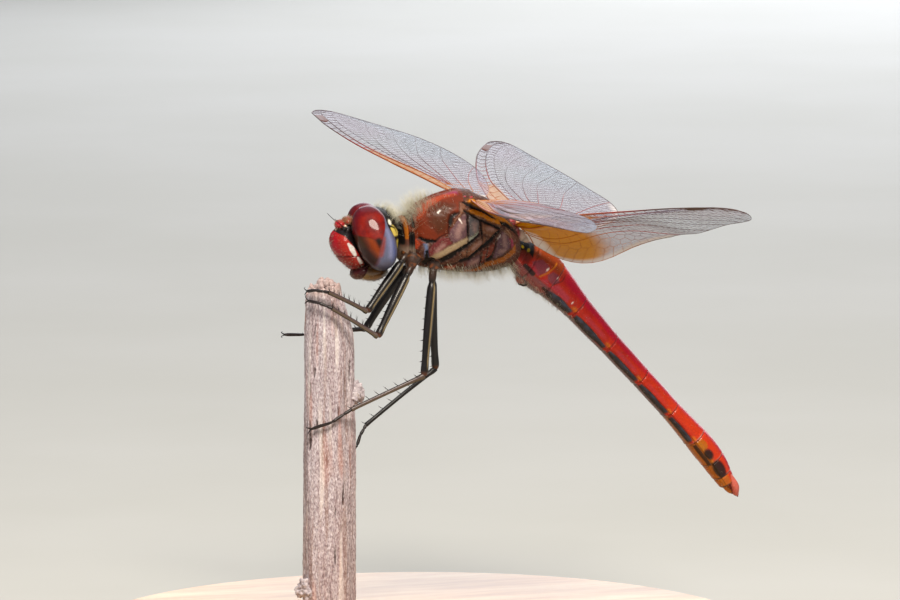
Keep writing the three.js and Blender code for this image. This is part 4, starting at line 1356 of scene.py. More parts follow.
# Places along the line are 0 at its second point and 24.7 mm at the last but one.
chord_steps = np.concatenate([[0], np.cumsum(np.linalg.norm(np.diff(abdomen_points, axis=0), axis=1))])
abdomen_places = (chord_steps - chord_steps[1]) * 24.7 / (chord_steps[-2] - chord_steps[1])
abdomen_line = through(np.column_stack([abdomen_places, abdomen_points]))
# Half the width and half the depth at places along the line.
abdomen_half = through([
    [-1, 0.9, 0.85], [0, 1.1, 1.15], [1.1, 1.3, 1.45], [2.3, 1.25, 1.52], [3.8, 1.08, 1.24],
    [5.8, 0.95, 1.0], [8, 0.9, 0.87], [11, 0.87, 0.77], [15, 0.9, 0.72], [17.5, 0.98, 0.74],
    [19.6, 1.05, 0.86], [20.8, 1.0, 0.88], [22.2, 0.84, 0.8], [23.7, 0.6, 0.58],
])


def abdomen_place(s, across, rise):
    """A point at s along the abdomen, this far to the right and this far above its line."""
    step = 0.05
    way = abdomen_line(s + step) - abdomen_line(s - step)
    way /= np.linalg.norm(way, axis=-1, keepdims=True)
    x, z = np.moveaxis(abdomen_line(s), -1, 0)
    return np.stack([x - way[..., 1] * rise, across + 0 * s, z + way[..., 0] * rise], axis=-1)


def segment_share(s):
    """Which segment, from 0, how far along it, and the millimetres from its front and its rear."""
    number = np.minimum(np.searchsorted(SEGMENT_ENDS, s, side="right"), 9)
    share = (s - SEGMENT_STARTS[number]) / (SEGMENT_STARTS[number + 1] - SEGMENT_STARTS[number])
    length = np.diff(SEGMENT_STARTS)[number]
    return number, share, share * length, (1 - share) * length


# The shares of the sheet that close the front and the rear end.
FRONT_CLOSE, REAR_CLOSE = 0.01, 0.02


def abdomen_surface(u, v):
    """The abdomen: u goes along it and over both ends, and v goes round it from the belly."""
    inner = np.clip((u - FRONT_CLOSE) / (1 - FRONT_CLOSE - REAR_CLOSE), 0, 1)
    s = ABDOMEN_START + inner * (ABDOMEN_LENGTH - ABDOMEN_START)
    closing = rounded(np.minimum(u / FRONT_CLOSE, (1 - u) / REAR_CLOSE))
    angle = (v - 0.25) * math.tau
    half_width, half_depth = np.moveaxis(abdomen_half(s), -1, 0)
    number, share, from_front, from_rear = segment_share(s)
    swell = 1 + 0.03 * np.sin(math.pi * share) + 0.035 * ridge(from_rear - 0.12, 0.09)
    swell -= 0.07 * ridge(from_front - 0.03, 0.06)
    rise = bowed(np.sin(angle), np.where(np.sin(angle) > 0, 1.0, 0.8))
    from_top = np.abs(angle - math.pi / 2)
    keel = 0.05 * ridge(from_top, 0.1) * smooth(s, 2.0, 4.0)
    fold = -0.05 * ridge(from_top - math.radians(118), 0.07) * smooth(s, 0.8, 2.0)
    carina = 0.05 * ridge(from_top - math.radians(108), 0.06) * smooth(s, 0.8, 2.0)
    body = swell * closing * (1 + keel + fold + carina)
    across = half_width * np.cos(angle) * (1 - 0.1 * rise) * body
    return abdomen_place(s, across, half_depth * rise * body)


# Pale purple patches on the sides of the second and the third segment.
MAUVE_PATCHES = [
    [(14.95, 26.17), (15.82, 26.27), (16.34, 25.72), (16.05, 25.3), (15.35, 25.16)],
    [(16.17, 25.13), (16.63, 25.34), (17.04, 25.09), (17.13, 24.53), (16.57, 24.39), (16.17, 24.79)],
]
print("segment ends at", SEGMENT_ENDS.round(2), "mm")

# %% Abdomen shell
ripe_red = cuticle(
    "waxy scarlet abdomen cuticle",
    ["#A61A0C", "#B8240F", "#C42C12"],
    [
        ("crimson", "#B2002C"), ("orange", "#CE3A14"), ("brown", "#8A3A0E"), ("mauve", "#7E3A4A"),
        ("rose", "#B43446"), ("belly", "#6C5256"), ("yellow", "#D07818"), ("pink", "#D08478"),
        ("amber", "#B0660E"), ("dusk", "#4A1216"), ("black", "#0C080A"), ("slate", "#4C566E"),
        ("gold", "#E0C020"), ("glint", "#F0DCD4"),
    ],
    roughness=0.42, patch_mm=0.5, pit_mm=0.1, pit_depth=0.014, gloss=0.2, Specular_IOR_Level=0.2,
)
abdomen = piece(
    "abdomen_shell", rolled(600, 128, abdomen_surface), ripe_red, "abdomen_shell",
    [f"abdomen_{number}" for number in range(1, 11)],
)
share_along = np.clip((wrap(abdomen, "along") - FRONT_CLOSE) / (1 - FRONT_CLOSE - REAR_CLOSE), 0, 1)
s = ABDOMEN_START + share_along * (ABDOMEN_LENGTH - ABDOMEN_START)
level = np.degrees(np.arcsin(np.clip(np.sin((wrap(abdomen, "around") - 0.25) * math.tau), -1, 1)))
number, share, from_front, from_rear = segment_share(s)
rear_rim = smooth(-from_rear, -0.16, -0.1)
places = places_of(abdomen)
flat = places[:, [0, 2]]
side = smooth(np.abs(places[:, 1]), 0.1, 0.25)
long_segments = ((number >= 2) & (number <= 6)).astype(float)
wobble = 5 * smear(np.column_stack([s, level / 40, 0 * s]), 1.1, 3.0)
wobble += 2 * smear(np.column_stack([s, level / 20, 0 * s]), 0.25, 7.0)
# The stripe is widest in the middle of a segment and stops just short of both its ends.
stripe_top = -25 - 8 * (2 * share - 1) ** 2 + wobble
stripe_bottom = -64 + 9 * (2 * share - 1) ** 4 + wobble
band = smooth(stripe_top - level, -3, 3) * smooth(level - stripe_bottom, -4, 4) * long_segments
band *= smooth(from_front, 0.05, 0.3) * smooth(from_rear, 0.12, 0.4)
tail = (number >= 7).astype(float)
# Segments 8 and 9 carry a black spot on each side, and a line runs under the first of them.
dark_spot = np.maximum(
    spot(np.column_stack([share, (level + 12) / 60]), (0.62, 0.0), (0.21, 0.3), 0, 0.3) * (number == 7),
    spot(np.column_stack([share, (level + 10) / 60]), (0.5, 0.0), (0.62, 0.5), 0, 0.25) * (number == 8),
)
tail_line = smooth(level, -54, -48) * smooth(-level, 26, 32) * (number == 7) * smooth(from_front, 0.05, 0.2)
rear_places = np.column_stack([from_rear, level / 30])
# A painted sheen: rose light along the swollen middle of each long segment, on its side.
painted_side_sheen = smooth(from_front, 0.3, 0.9) * smooth(from_rear, 0.5, 1.2)
painted_side_sheen *= smooth(-s, -17, -12) * smooth(s, 6, 7)
bloom = smooth(smear(places * [1, 2, 1], 0.5, 6.0), -0.3, 0.5)
crimson = smooth(level + 1.5 * wobble - 14 * smooth(s, 9, 18), 6, 34)
paint(
    abdomen,
    crimson=crimson * smooth(s, 2.6, 4.2) * (0.95 - 0.15 * smooth(s, 14, 20)),
    orange=0.75 * smooth(s, 9, 19) * smooth(level, -30, 0) * smooth(-level, -58, -34),
    brown=smooth(-s, -3.6, -2.6) * smooth(level, 0, 30) * 0.9,
    mauve=0.85 * side * np.maximum(*(patch(flat, corners) for corners in MAUVE_PATCHES)),
    rose=0.85 * side * np.maximum.reduce([
        patch(flat, [(16.28, 24.29), (17.04, 24.37), (17.97, 23.39), (17.74, 23.02), (16.98, 23.55)], 0.1),
        patch(flat, [(15.47, 24.83), (16.11, 24.85), (16.4, 24.23), (15.99, 24.11)], 0.08),
        0.8 * patch(flat, [(14.7, 26.0), (15.2, 25.3), (15.6, 25.0), (15.2, 25.9)], 0.08),
        # The last of these is the painted sheen along the segments' sides.
        0.7 * ridge(level + 6, 9) * painted_side_sheen,
    ]),
    belly=np.maximum(
        smooth(-level - wobble, 54, 62) * smooth(-s, -21.0, -20.0),
        0.7 * smooth(-level, 20, 30) * smooth(-s, -4.0, -3.0),
    ),
    yellow=np.maximum(
        0.6 * long_segments * spot(rear_places, (0.26, -0.66), (0.26, 0.34), 0, 0.6),
        0.9 * strokes(flat, [([(15.53, 25.07), (16.17, 25.29), (16.75, 25.65), (17.0, 25.9)], 0.1)]) * side,
    ),
    pink=rear_rim * 0.35 * smooth(level, -60, -40) * smooth(s, 17, 19),
    amber=np.maximum(smooth(-level, 0, 20) * tail, 0.8 * smooth(-level, -30, 0) * (number == 9)) * 0.9
    + 0.6 * smooth(-level, 40, 56) * (number == 6)
    + 0.8 * spot(np.column_stack([share, (level + 5) / 60]), (0.22, 0.0), (0.2, 0.3)) * (number == 7),
    dusk=0.35 * smooth(level, 62, 80) * smooth(-s, -6.0, -3.0),
    black=np.maximum.reduce([
        band,
        side * patch(flat, [
            (13.7, 27.9), (14.48, 28.1), (15.6, 27.6), (15.29, 26.93), (15.06, 26.39), (14.83, 26.78),
            (14.48, 27.02), (14.2, 26.9), (13.9, 27.1),
        ]),
        0.7 * smooth(-s, -0.6, -0.3) * smooth(level, -30, 0),
        0.95 * stroke(flat, [(14.5, 25.9), (15.06, 25.29)], 0.34) * side,
        0.9 * stroke(flat, [(16.57, 24.39), (17.39, 24.63), (17.68, 25.0)], 0.05) * side,
        0.95 * dark_spot,
        0.9 * tail_line,
        0.8 * smooth(-level, -10, 10) * ridge(from_rear - 0.04, 0.09) * tail,
        0.75 * ridge(from_rear - 0.01, 0.04) * smooth(level, -70, -50),
        0.9 * stroke(flat, [(15.9, 24.2), (16.6, 23.6)], [0.2, 0.3]) * side,
    ]),
    slate=band * (0.25 + 0.3 * bloom) * smooth(level, -62, -40),
    gold=spot(flat, (14.45, 27.2), (0.11, 0.11)) + 0.6 * spot(flat, (14.85, 26.95), (0.14, 0.1), 40),
    glint=side * np.maximum.reduce([
        spot(flat, (16.17, 25.54), (0.16, 0.07), 38),
        spot(flat, (18.17, 23.0), (0.12, 0.05), 40),
        0.6 * spot(flat, (16.98, 24.87), (0.12, 0.06), 30),
        0.4 * ridge(from_rear - 0.06, 0.05) * ridge(level - 8, 14) * long_segments * smooth(s, 16, 18),
    ]),
)


# %% [markdown]
# ## Tail claspers and the male's second parts
#
# A male holds the female's neck with two upper claspers (cerci) over one lower plate, and he carries a
# second set of parts under the front of his abdomen, with small hooks. They are short limbs: a tube
# that follows a bending route, with its own rule of thickness.

# %% Claspers
# Each point is its place along the abdomen, and how far it lies from the middle and above the line.
CLASPER_ROUTE = np.array([
    (23.1, 0.3, 0.26), (23.6, 0.36, 0.34), (24.1, 0.4, 0.3), (24.6, 0.3, 0.16), (24.95, 0.16, 0.14),
])
clasper_radius = through([[0, 0.26], [0.25, 0.24], [0.6, 0.27], [0.85, 0.16], [1, 0.05]])
for name, side in (("left", LEFT), ("right", RIGHT)):
    s, across, rise = CLASPER_ROUTE.T
    sheet = rolled(60, 40, limb(abdomen_place(s, across * side, rise), clasper_radius, (0, 1, 0)))
    clasper = piece(f"clasper_{name}", sheet, ripe_red, "abdomen_shell", [f"clasper_{name}"])
    paint(clasper, pink=0.5, orange=0.6, black=smooth(wrap(clasper, "along"), 0.85, 0.98) * 0.8)
lower_rise = np.array([-0.2, -0.24, -0.2, -0.05])
lower_route = abdomen_place(np.array([23.1, 23.6, 24.2, 24.6]), np.zeros(4), lower_rise)
lower_radius = through([[0, 0.34, 0.24], [0.4, 0.34, 0.22], [0.8, 0.2, 0.14], [1, 0.06, 0.05]])
lower_sheet = rolled(60, 40, limb(lower_route, lower_radius, (0, 1, 0)))
lower = piece("lower_clasper", lower_sheet, ripe_red, "abdomen_shell")
paint(lower, amber=0.9, black=smooth(wrap(lower, "along"), 0.85, 0.98) * 0.8)


def pouch(unit):
    """The second parts: a pouch with a cleft along its middle."""
    cleft_depth = 0.14 * ridge(unit[..., 1], 0.16) * smooth(-unit[..., 2], 0.0, 0.6)
    return 0.05 * ridge(unit[..., 0], 0.3) - cleft_depth


bulge_rule = swelling((14.95, 0, 25.1), (0.85, 0.52, 0.58), 0.7, pouch, turning=lambda points: points)
bulge = piece("second_parts", rolled(60, 60, bulge_rule), ripe_red, "abdomen_shell", ["genital_bulge"])
places = places_of(bulge)
paint(
    bulge,
    pink=0.35,
    belly=0.9,
    amber=0.3 * smooth(smear(places, 0.4, 2.0), 0, 0.4),
    black=0.8 * smooth(smear(places, 0.3, 7.0), 0.2, 0.4),
)
HOOK_ROUTE = [(15.1, 0.25, 24.6), (14.85, 0.33, 24.38), (14.6, 0.3, 24.34), (14.45, 0.22, 24.48)]
hooks = [
    (along(np.array(HOOK_ROUTE) * [1, side, 1], 12), np.linspace(0.13, 0.03, 12)) for side in (LEFT, RIGHT)
]
piece("second_parts_hooks", strands(hooks, 10), feeler_black, "abdomen_shell")

# %% [markdown]
# ## The legs
#
# Each leg has a short hip, a strong thigh (femur), a thin shin (tibia) and a three-jointed foot (tarsus)
# with two claws. They are black and glossy with a tan stripe down the outside. Two rows of spines along
# the thigh and shin make the basket that catches prey. A leg is limbs and strands joined in one mesh, with
# its stripe painted by the place round each limb.

# %% Leg routes
# Hip, knee, ankle, the middle of the foot and its toe.
LEGS = {
    "fore_left": [
        (5.55, -0.85, 26.95), (2.2, -2.05, 23.25), (-0.7, -2.1, 24.75), (-1.45, -1.45, 24.85),
        (-1.8, -0.6, 24.7),
    ],
    "fore_right": [
        (5.5, 0.9, 26.95), (3.95, 2.0, 24.95), (5.65, 2.3, 28.0), (5.75, 2.15, 28.8), (5.65, 1.85, 29.6),
    ],
    "mid_left": [
        (5.8, -1.25, 26.15), (2.78, -2.65, 21.5), (-0.45, -2.15, 23.6), (-1.25, -1.7, 23.95),
        (-1.8, -0.85, 24.05),
    ],
    "mid_right": [
        (6.5, 1.3, 25.95), (3.62, 2.3, 21.4), (0.4, 2.35, 21.2), (-1.1, 2.2, 21.2), (-2.6, 2.0, 21.3),
    ],
    "hind_left": [
        (7.45, -1.3, 25.9), (6.35, -2.45, 18.5), (0.95, -2.2, 16.3), (-0.5, -2.1, 15.45),
        (-1.75, -1.25, 14.9),
    ],
    "hind_right": [
        (8.35, 1.3, 25.7), (8.86, 2.1, 18.3), (3.1, 0.75, 14.7), (2.55, 0.45, 14.0), (2.2, 0.1, 13.4),
    ],
}
leg_shell = cuticle("glossy black leg cuticle", ["#0B090B", "#171316"], [
    ("stripe", "#AC9870"), ("pink", "#8A706C"), ("hip", "#3A2820"), ("rust", "#8A4A1E"),
], roughness=0.42, gloss=0.24, Specular_IOR_Level=0.25)


def joined(name, parts):
    """Joins bmeshes and meshes in one mesh. parts are (sheet, marks), and a mark that isn't given is 0."""
    whole = bmesh.new()
    known = sorted({mark for sheet, values in parts for mark in values})
    marks = {mark: [] for mark in known}
    for sheet, values in parts:
        if isinstance(sheet, bmesh.types.BMesh):
            mesh = bpy.data.meshes.new(name)
            sheet.to_mesh(mesh)
            sheet.free()
            sheet = mesh
        for mark in known:
            marks[mark].append(np.broadcast_to(values.get(mark, 0.0), len(sheet.vertices)))
        whole.from_mesh(sheet)
        bpy.data.meshes.remove(sheet)
    mesh = bpy.data.meshes.new(name)
    whole.to_mesh(mesh)
    whole.free()
    for mark, values in marks.items():
        store(mesh, mark, np.concatenate(values))
    return mesh


def flat_of(sheet):
    """The two flat coordinates, along and around, of the vertices of a rolled bmesh."""
    layers = [sheet.verts.layers.float[which] for which in ("along", "around")]
    return np.array([[vert[layer] for layer in layers] for vert in sheet.verts]).T


def line_at(around, place, width):
    """A line along a limb, at a place round it."""
    return ridge((around - place + 0.5) % 1 - 0.5, width)


def spines(start, end, out, count, length, lean=0.5, radius=0.032):
    """Strands for a row of spines from start to end. out is the way they point."""
    start, end, out = (np.array(p, float) for p in (start, end, out))
    way = (end - start) / np.linalg.norm(end - start)
    out = out / np.linalg.norm(out)
    rows = []
    for place in np.linspace(0, 1, count):
        foot = start + (end - start) * place
        tip = foot + (out + lean * way) * length * (0.8 + 0.35 * math.sin(place * math.pi))
        bend = (foot + tip) / 2 + way * 0.04
        rows.append((np.array([foot, bend, tip]), [radius, radius * 0.7, radius * 0.15]))
    return rows


# %% Six legs
FEMUR_RADIUS = through([
    [0, 0.24], [0.05, 0.28], [0.1, 0.25], [0.12, 0.22], [0.18, 0.31], [0.5, 0.32], [0.85, 0.26],
    [0.96, 0.28], [1, 0.2],
])
HIP_RADIUS = through([[0, 0.62], [0.5, 0.48], [0.85, 0.33], [1, 0.24]])
SHIN_RADIUS = through([[0, 0.2], [0.04, 0.22], [0.12, 0.17], [0.9, 0.15], [1, 0.17]])
FOOT_RADIUS = through([
    [0, 0.11], [0.16, 0.12], [0.2, 0.08], [0.24, 0.1], [0.46, 0.12], [0.5, 0.08], [0.54, 0.1],
    [0.9, 0.12], [1, 0.09],
])


def below(way, outward, side, toward):
    """The way down from a limb, on the side of it where the spines stand."""
    down = np.cross(way, outward) * side
    down = down / np.linalg.norm(down)
    return -down if down @ toward < 0 else down


for name, route in LEGS.items():
    side = LEFT if name.endswith("left") else RIGHT
    hip, knee, ankle, middle_foot, toe = (np.array(p, float) for p in route)
    outward = np.array([0, side, 0.0])
    thigh_way, shin_way = knee - hip, ankle - knee
    # The reference points outward, and the stripe lies on the outer side, a little to the rear.
    stripe_at = 0.93 if side == LEFT else 0.07

    thigh = along([hip, hip + thigh_way * 0.5 + np.array([-0.06, 0.1 * side, 0]), knee], 12)
    femur = rolled(130, 44, limb(thigh, FEMUR_RADIUS, outward))
    share, around = flat_of(femur)
    stripe = 0.85 * line_at(around, stripe_at, 0.034) * smooth(share, 0.1, 0.2) * smooth(-share, -0.95, -0.85)
    parts = [(femur, {
        "stripe": stripe,
        "hip": smooth(-share, -0.14, -0.08) * 0.8,
        "rust": 0.35 * smooth(share, 0.93, 0.98),
    })]

    inner = hip + np.array([0.35, -0.35 * side, 0.75])
    hip_route = [inner, (inner + hip) / 2 + [-0.05, 0, 0], hip - [0.02, 0, 0.12]]
    hip_ball = rolled(50, 40, limb(hip_route, HIP_RADIUS, outward, close=0.08))
    share, around = flat_of(hip_ball)
    blotch = smear(np.column_stack([around * 6, share * 5, 0 * around]), 1.0, len(name))
    parts.append((hip_ball, {
        "hip": 0.85, "pink": 0.4 * smooth(-blotch, 0.1, 0.3), "rust": 0.6 * smooth(blotch, 0.0, 0.4),
    }))

    shin = along([knee, (knee + ankle) / 2 + [0, 0.04 * side, 0.03], ankle], 12)
    tibia = rolled(110, 32, limb(shin, SHIN_RADIUS, outward))
    share, around = flat_of(tibia)
    parts.append((tibia, {
        "stripe": line_at(around, stripe_at, 0.07) * 0.25,
        "pink": 0.35 * line_at(around, 1 - stripe_at, 0.1),
    }))

    foot_route = [ankle, ankle * 0.45 + middle_foot * 0.55, middle_foot, middle_foot * 0.4 + toe * 0.6, toe]
    parts.append((rolled(90, 22, limb(foot_route, FOOT_RADIUS, outward)), {"pink": 0.05}))

    down = below(thigh_way, outward, side, ankle - hip)
    shin_down = below(shin_way, outward, side, hip - knee)
    rows = []
    for lean_out in (0.45, -0.45):
        start, end = hip + thigh_way * 0.25 + down * 0.25, knee - thigh_way * 0.04 + down * 0.2
        rows += spines(start, end, down + outward * lean_out, 8, 0.3, radius=0.024)
        start, end = knee + shin_way * 0.08 + shin_down * 0.1, ankle + shin_down * 0.1
        rows += spines(start, end, shin_down + outward * lean_out, 8, 0.42, radius=0.026)
    rows += spines(ankle, toe, shin_down * 0.6 + outward * 0.2, 9, 0.13, radius=0.016)

    foot_way = (toe - middle_foot) / np.linalg.norm(toe - middle_foot)
    inward = -np.array([toe[0], toe[1], 0]) / max(np.hypot(toe[0], toe[1]), 0.1)
    for spread in (0.22, -0.22):
        sideways = np.cross(foot_way, inward) * spread
        claw = [toe, toe + foot_way * 0.28 + sideways, toe + foot_way * 0.4 + sideways * 1.4 + inward * 0.22]
        rows.append((along(claw, 8), np.linspace(0.055, 0.012, 8)))
    parts.append((strands(rows, 5), {}))
    nodes = [f"leg_{name}_{part}" for part in ("femur", "tibia", "tarsus")]
    piece(f"leg_{name}", joined(f"leg_{name}", parts), leg_shell, "leg_shell", nodes)

# %% [markdown]
# ## The wings
#
# A dragonfly's wing is a thin film held by a net of veins. Three strong veins run close together along
# the front edge and are braced by cross-veins, and they meet at a notch (nodus) half way. Behind them
# the main veins fan out to the rear margin, with some four hundred small cells between. Near the tip
# sits a thick coloured cell, the pterostigma.
#
# The wing is planned flat, in shares of its length and of its breadth, and one function places the plan
# in space, with the twist along its span and the shallow pleats near its front edge.

# %% Wing plans
FORE_LENGTH, HIND_LENGTH = 29.5, 28.2
# At each share of the length: where the front and the rear edge lie, as shares of the length too.
FORE_EDGES = through([
    [0, 0.004, 0.07], [0.04, -0.003, 0.1], [0.12, -0.009, 0.14], [0.25, -0.013, 0.18],
    [0.4, -0.017, 0.208], [0.55, -0.016, 0.224], [0.7, -0.007, 0.226], [0.8, 0.004, 0.216],
    [0.9, 0.024, 0.192], [1, 0.046, 0.164],
])
HIND_EDGES = through([
    [0, 0.002, 0.06], [0.025, -0.002, 0.146], [0.06, -0.004, 0.223], [0.11, -0.008, 0.278],
    [0.19, -0.013, 0.32], [0.3, -0.019, 0.315], [0.45, -0.022, 0.282], [0.6, -0.014, 0.248],
    [0.75, 0.002, 0.212], [0.85, 0.022, 0.187], [0.93, 0.044, 0.164], [1, 0.064, 0.146],
])
PITCH_PLACES = [0, 0.12, 0.28, 0.5, 0.75, 1]
# For each wing: its side, its sweep, its rise, and its pitch at each of these places, in degrees.
ATTITUDES = {
    "forewing_left": (LEFT, -14.5, 3.9, [-1, 0, 2, 4, 7, 10]),
    "forewing_right": (RIGHT, -5.3, 6.9, [5, 3.5, 2, 4, 7, 10]),
    "hindwing_left": (LEFT, 8.6, 8.9, [48, 17, 11, 13, 13.5, 17]),
    "hindwing_right": (RIGHT, 15.2, 6.0, [12.5, 8, 5, 6.5, 10, 14.5]),
}


class Wing:
    """The plan of one wing, and the way from a place on the plan to a place in space."""

    def __init__(self, name):
        self.name = name
        self.side, sweep, dihedral, pitches = ATTITUDES[name]
        self.fore = name.startswith("fore")
        self.length = FORE_LENGTH if self.fore else HIND_LENGTH
        self.length *= 0.978 if name == "hindwing_left" else 1
        self.edges = FORE_EDGES if self.fore else HIND_EDGES
        self.nodus = 0.52 if self.fore else 0.42
        self.pitch = through(np.column_stack([PITCH_PLACES, np.radians(pitches)]))
        root = FORE_ROOT if self.fore else HIND_ROOT
        self.root = np.array([root[0], root[1] * self.side, root[2]])
        sweep, dihedral = math.radians(sweep), math.radians(dihedral)
        out, rise = math.cos(dihedral), math.sin(dihedral)
        self.span = np.array([math.sin(sweep) * out, self.side * math.cos(sweep) * out, rise])
        self.rearward = np.array([math.cos(sweep), -self.side * math.sin(sweep), 0])
        upward = np.cross(self.span, self.rearward) * -self.side
        self.upward = upward / np.linalg.norm(upward)

    def breadth(self, t):
        """Where the front and the rear edge lie, as shares of the length. The tip is rounded."""
        lead, trail = np.moveaxis(self.edges(t), -1, 0)
        narrow = 0.99 * (1 - np.sqrt(1 - np.clip((t - 0.93) / 0.07, 0, 1) ** 2))
        return lead + 0.62 * narrow * (trail - lead), trail - 0.38 * narrow * (trail - lead)

    def chord(self, t, share):
        """How far behind the wing's axis a place is, in millimetres."""
        lead, trail = self.breadth(t)
        return (lead + (trail - lead) * share) * self.length

    def share(self, t, chord):
        """The share of the breadth at which a flat place lies."""
        lead, trail = self.breadth(t)
        return (chord / self.length - lead) / (trail - lead)

    def pleat(self, t, share):
        """The pleats along the front edge, and the slow swell of the film behind them, in millimetres."""
        fade = smooth(1 - t, 0.02, 0.3) * smooth(t, 0.0, 0.06)
        front = 0.11 * np.cos(math.tau * share / 0.16) * smooth(-share, -0.4, -0.1)
        return fade * (front + 0.05 * np.sin(share * 9 + t * 7))

    def place(self, t, share, thickness=0.0):
        """A point on the wing in millimetres on the specimen, this far above the film."""
        t, share = np.broadcast_arrays(np.asarray(t, float), np.asarray(share, float))
        chord = self.chord(t, share)
        lead, trail = np.moveaxis(self.edges(t), -1, 0)
        slope = self.pitch(t)[..., 0] * (1 + (chord / self.length - lead) / (trail - lead)) / 2
        above = self.pleat(t, share) + thickness
        back = chord * np.cos(slope) + above * np.sin(slope)
        up = above * np.cos(slope) - chord * np.sin(slope)
        out = (t * self.length)[..., None] * self.span
        return self.root + out + back[..., None] * self.rearward + up[..., None] * self.upward


wings = {name: Wing(name) for name in ATTITUDES}
for wing in wings.values():
    low, high = (local(corner).round(1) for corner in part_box(wing.name))
    print(wing.name, "tip at", wing.place(1.0, 0.5).round(1), "solid from", low, "to", high)

# %% [markdown]
# ## Veins and cells
#
# The main veins are routes on the plan. The cells between them are found as nature finds them: every
# cell gets a seed, and walls stand half way between neighbours. Seeds set in pairs to both sides of a
# main vein make walls that fall on the vein and others square to it, so the net joins the main veins
# properly. The walls come from a Delaunay triangulation of the seeds.

# %% Main veins
# Each vein has stations, as shares of the wing's length and breadth, and a radius in millimetres.
VEINS = {
    "subcosta": ([(0, 0.16), (0.1, 0.10), (0.3, 0.07), ("nodus", 0.0)], 0.05),
    "radius": (
        [(0, 0.22), (0.1, 0.19), (0.3, 0.145), (0.52, 0.115), (0.8, 0.12), (0.93, 0.17), (0.985, 0.3)],
        0.058,
    ),
    "front_sector": ([(0.13, 0.3), (0.3, 0.22), (0.52, 0.19), (0.8, 0.24), (0.93, 0.36), (1.0, 0.6)], 0.03),
    "second_sector": (
        [(0.13, 0.32), (0.3, 0.27), (0.52, 0.27), (0.7, 0.4), (0.85, 0.68), (0.93, 1.0)], 0.027,
    ),
    "third_sector": (
        [(0.13, 0.34), (0.3, 0.33), (0.5, 0.42), (0.65, 0.6), (0.78, 0.84), (0.85, 1.0)], 0.027,
    ),
    "middle": ([(0.13, 0.36), (0.3, 0.42), (0.45, 0.52), (0.58, 0.72), (0.68, 0.9), (0.72, 1.0)], 0.027),
    "elbow": (
        [(0, 0.5), (0.13, 0.52), (0.22, 0.56), (0.35, 0.66), (0.47, 0.82), (0.55, 0.95), (0.58, 1.0)],
        0.03,
    ),
    "anal": ([(0, 0.6), (0.13, 0.66), (0.22, 0.78), (0.3, 0.95), (0.32, 1.0)], 0.027),
}


FRONT_VEINS = ("subcosta", "radius")


def vein_route(wing, stations, step=0.25):
    """Flat places (t, share) along a vein, about step millimetres apart."""
    stations = np.array([(wing.nodus if t == "nodus" else t, share) for t, share in stations], float)
    count = int((stations[-1, 0] - stations[0, 0]) * wing.length / step) + 8
    t = np.linspace(stations[0, 0], stations[-1, 0], count)
    return np.column_stack([t, np.clip(through(stations)(t)[:, 0], 0, 1)])


def flat_places(wing, route):
    """The same places in flat millimetres: out along the span, and back."""
    return np.column_stack([route[:, 0] * wing.length, wing.chord(route[:, 0], route[:, 1])])


def nearest(places, others):
    """How far each place is from the nearest of the others."""
    return np.linalg.norm(places[:, None] - others[None], axis=2).min(axis=1)


def point_on(line, places, at):
    """Points on a flat line whose corners have these places along it."""
    return np.column_stack([np.interp(at, places, line[:, k]) for k in range(2)])


def paired_seeds(line, spacing, offset, draws):
    """Seeds to both sides of a flat line."""
    places = np.concatenate([[0], np.cumsum(np.linalg.norm(np.diff(line, axis=0), axis=1))])
    at = np.arange(spacing / 2, places[-1], spacing) + draws.uniform(-0.12, 0.12) * spacing
    points = point_on(line, places, at)
    way = point_on(line, places, at + 0.05) - point_on(line, places, at - 0.05)
    way /= np.linalg.norm(way, axis=1, keepdims=True)
    square = np.column_stack([-way[:, 1], way[:, 0]]) * offset
    return np.concatenate([points + square, points - square])


def round_centre(a, b, c):
    """The middle of the circle through three flat places, or None where they lie in a line."""
    ab, ac = b - a, c - a
    square_b, square_c = ab @ ab, ac @ ac
    twice = 2 * (ab[0] * ac[1] - ab[1] * ac[0])
    if abs(twice) < 1e-9:
        return None
    return a + np.array([ac[1] * square_b - ab[1] * square_c, ab[0] * square_c - ac[0] * square_b]) / twice


def cell_walls(wing, main_lines, margin, cell=0.66):
    """The walls of the small cells, as pairs of flat places inside the margin. cell is a cell's width."""
    draws = np.random.default_rng(5 + len(wing.name) + (wing.side > 0))
    seeds = np.empty((0, 2))
    for line, offset in [(margin, cell * 0.45)] + [(line, cell * 0.42) for line in main_lines]:
        fresh = paired_seeds(line, cell, offset, draws)
        if len(seeds):
            fresh = fresh[nearest(fresh, seeds) > cell * 0.55]
        seeds = np.concatenate([seeds, fresh])
    rows = np.arange(-0.05, 0.36, 0.86 * cell / wing.length)
    columns = np.arange(0, 1.03, cell / wing.length)
    lattice = np.array([
        (c * wing.length + (i % 2) * cell / 2, r * wing.length) for i, r in enumerate(rows) for c in columns
    ])
    lattice = lattice + draws.uniform(-0.13, 0.13, lattice.shape) * cell
    seeds = np.concatenate([seeds, lattice[nearest(lattice, seeds) > cell * 0.72]])
    corners, _, triangles, *_ = geometry.delaunay_2d_cdt([Vector(p) for p in seeds], [], [], 0, 1e-6)
    corners = np.array([tuple(p) for p in corners])
    centres, beside = [], {}
    for index, triangle in enumerate(triangles):
        a, b, c = corners[list(triangle)]
        middle = (a + b + c) / 3
        found = round_centre(a, b, c)
        if found is not None and np.linalg.norm(found - middle) < cell * 1.5:
            middle = found
        centres.append(middle)
        for k in range(3):
            beside.setdefault(tuple(sorted((triangle[k], triangle[(k + 1) % 3]))), []).append(index)
    return np.array([(centres[faces[0]], centres[faces[1]]) for faces in beside.values() if len(faces) == 2])


# %% [markdown]
# ## Film and vein finishes
#
# The film is clear chitin a few thousandths of a millimetre thick. It shows by its gloss and by a faint
# smoky tint, and at the wing's root it is stained deep amber. Veins are red to orange near the front
# and the root in this species, hence its name, and blackish further out.

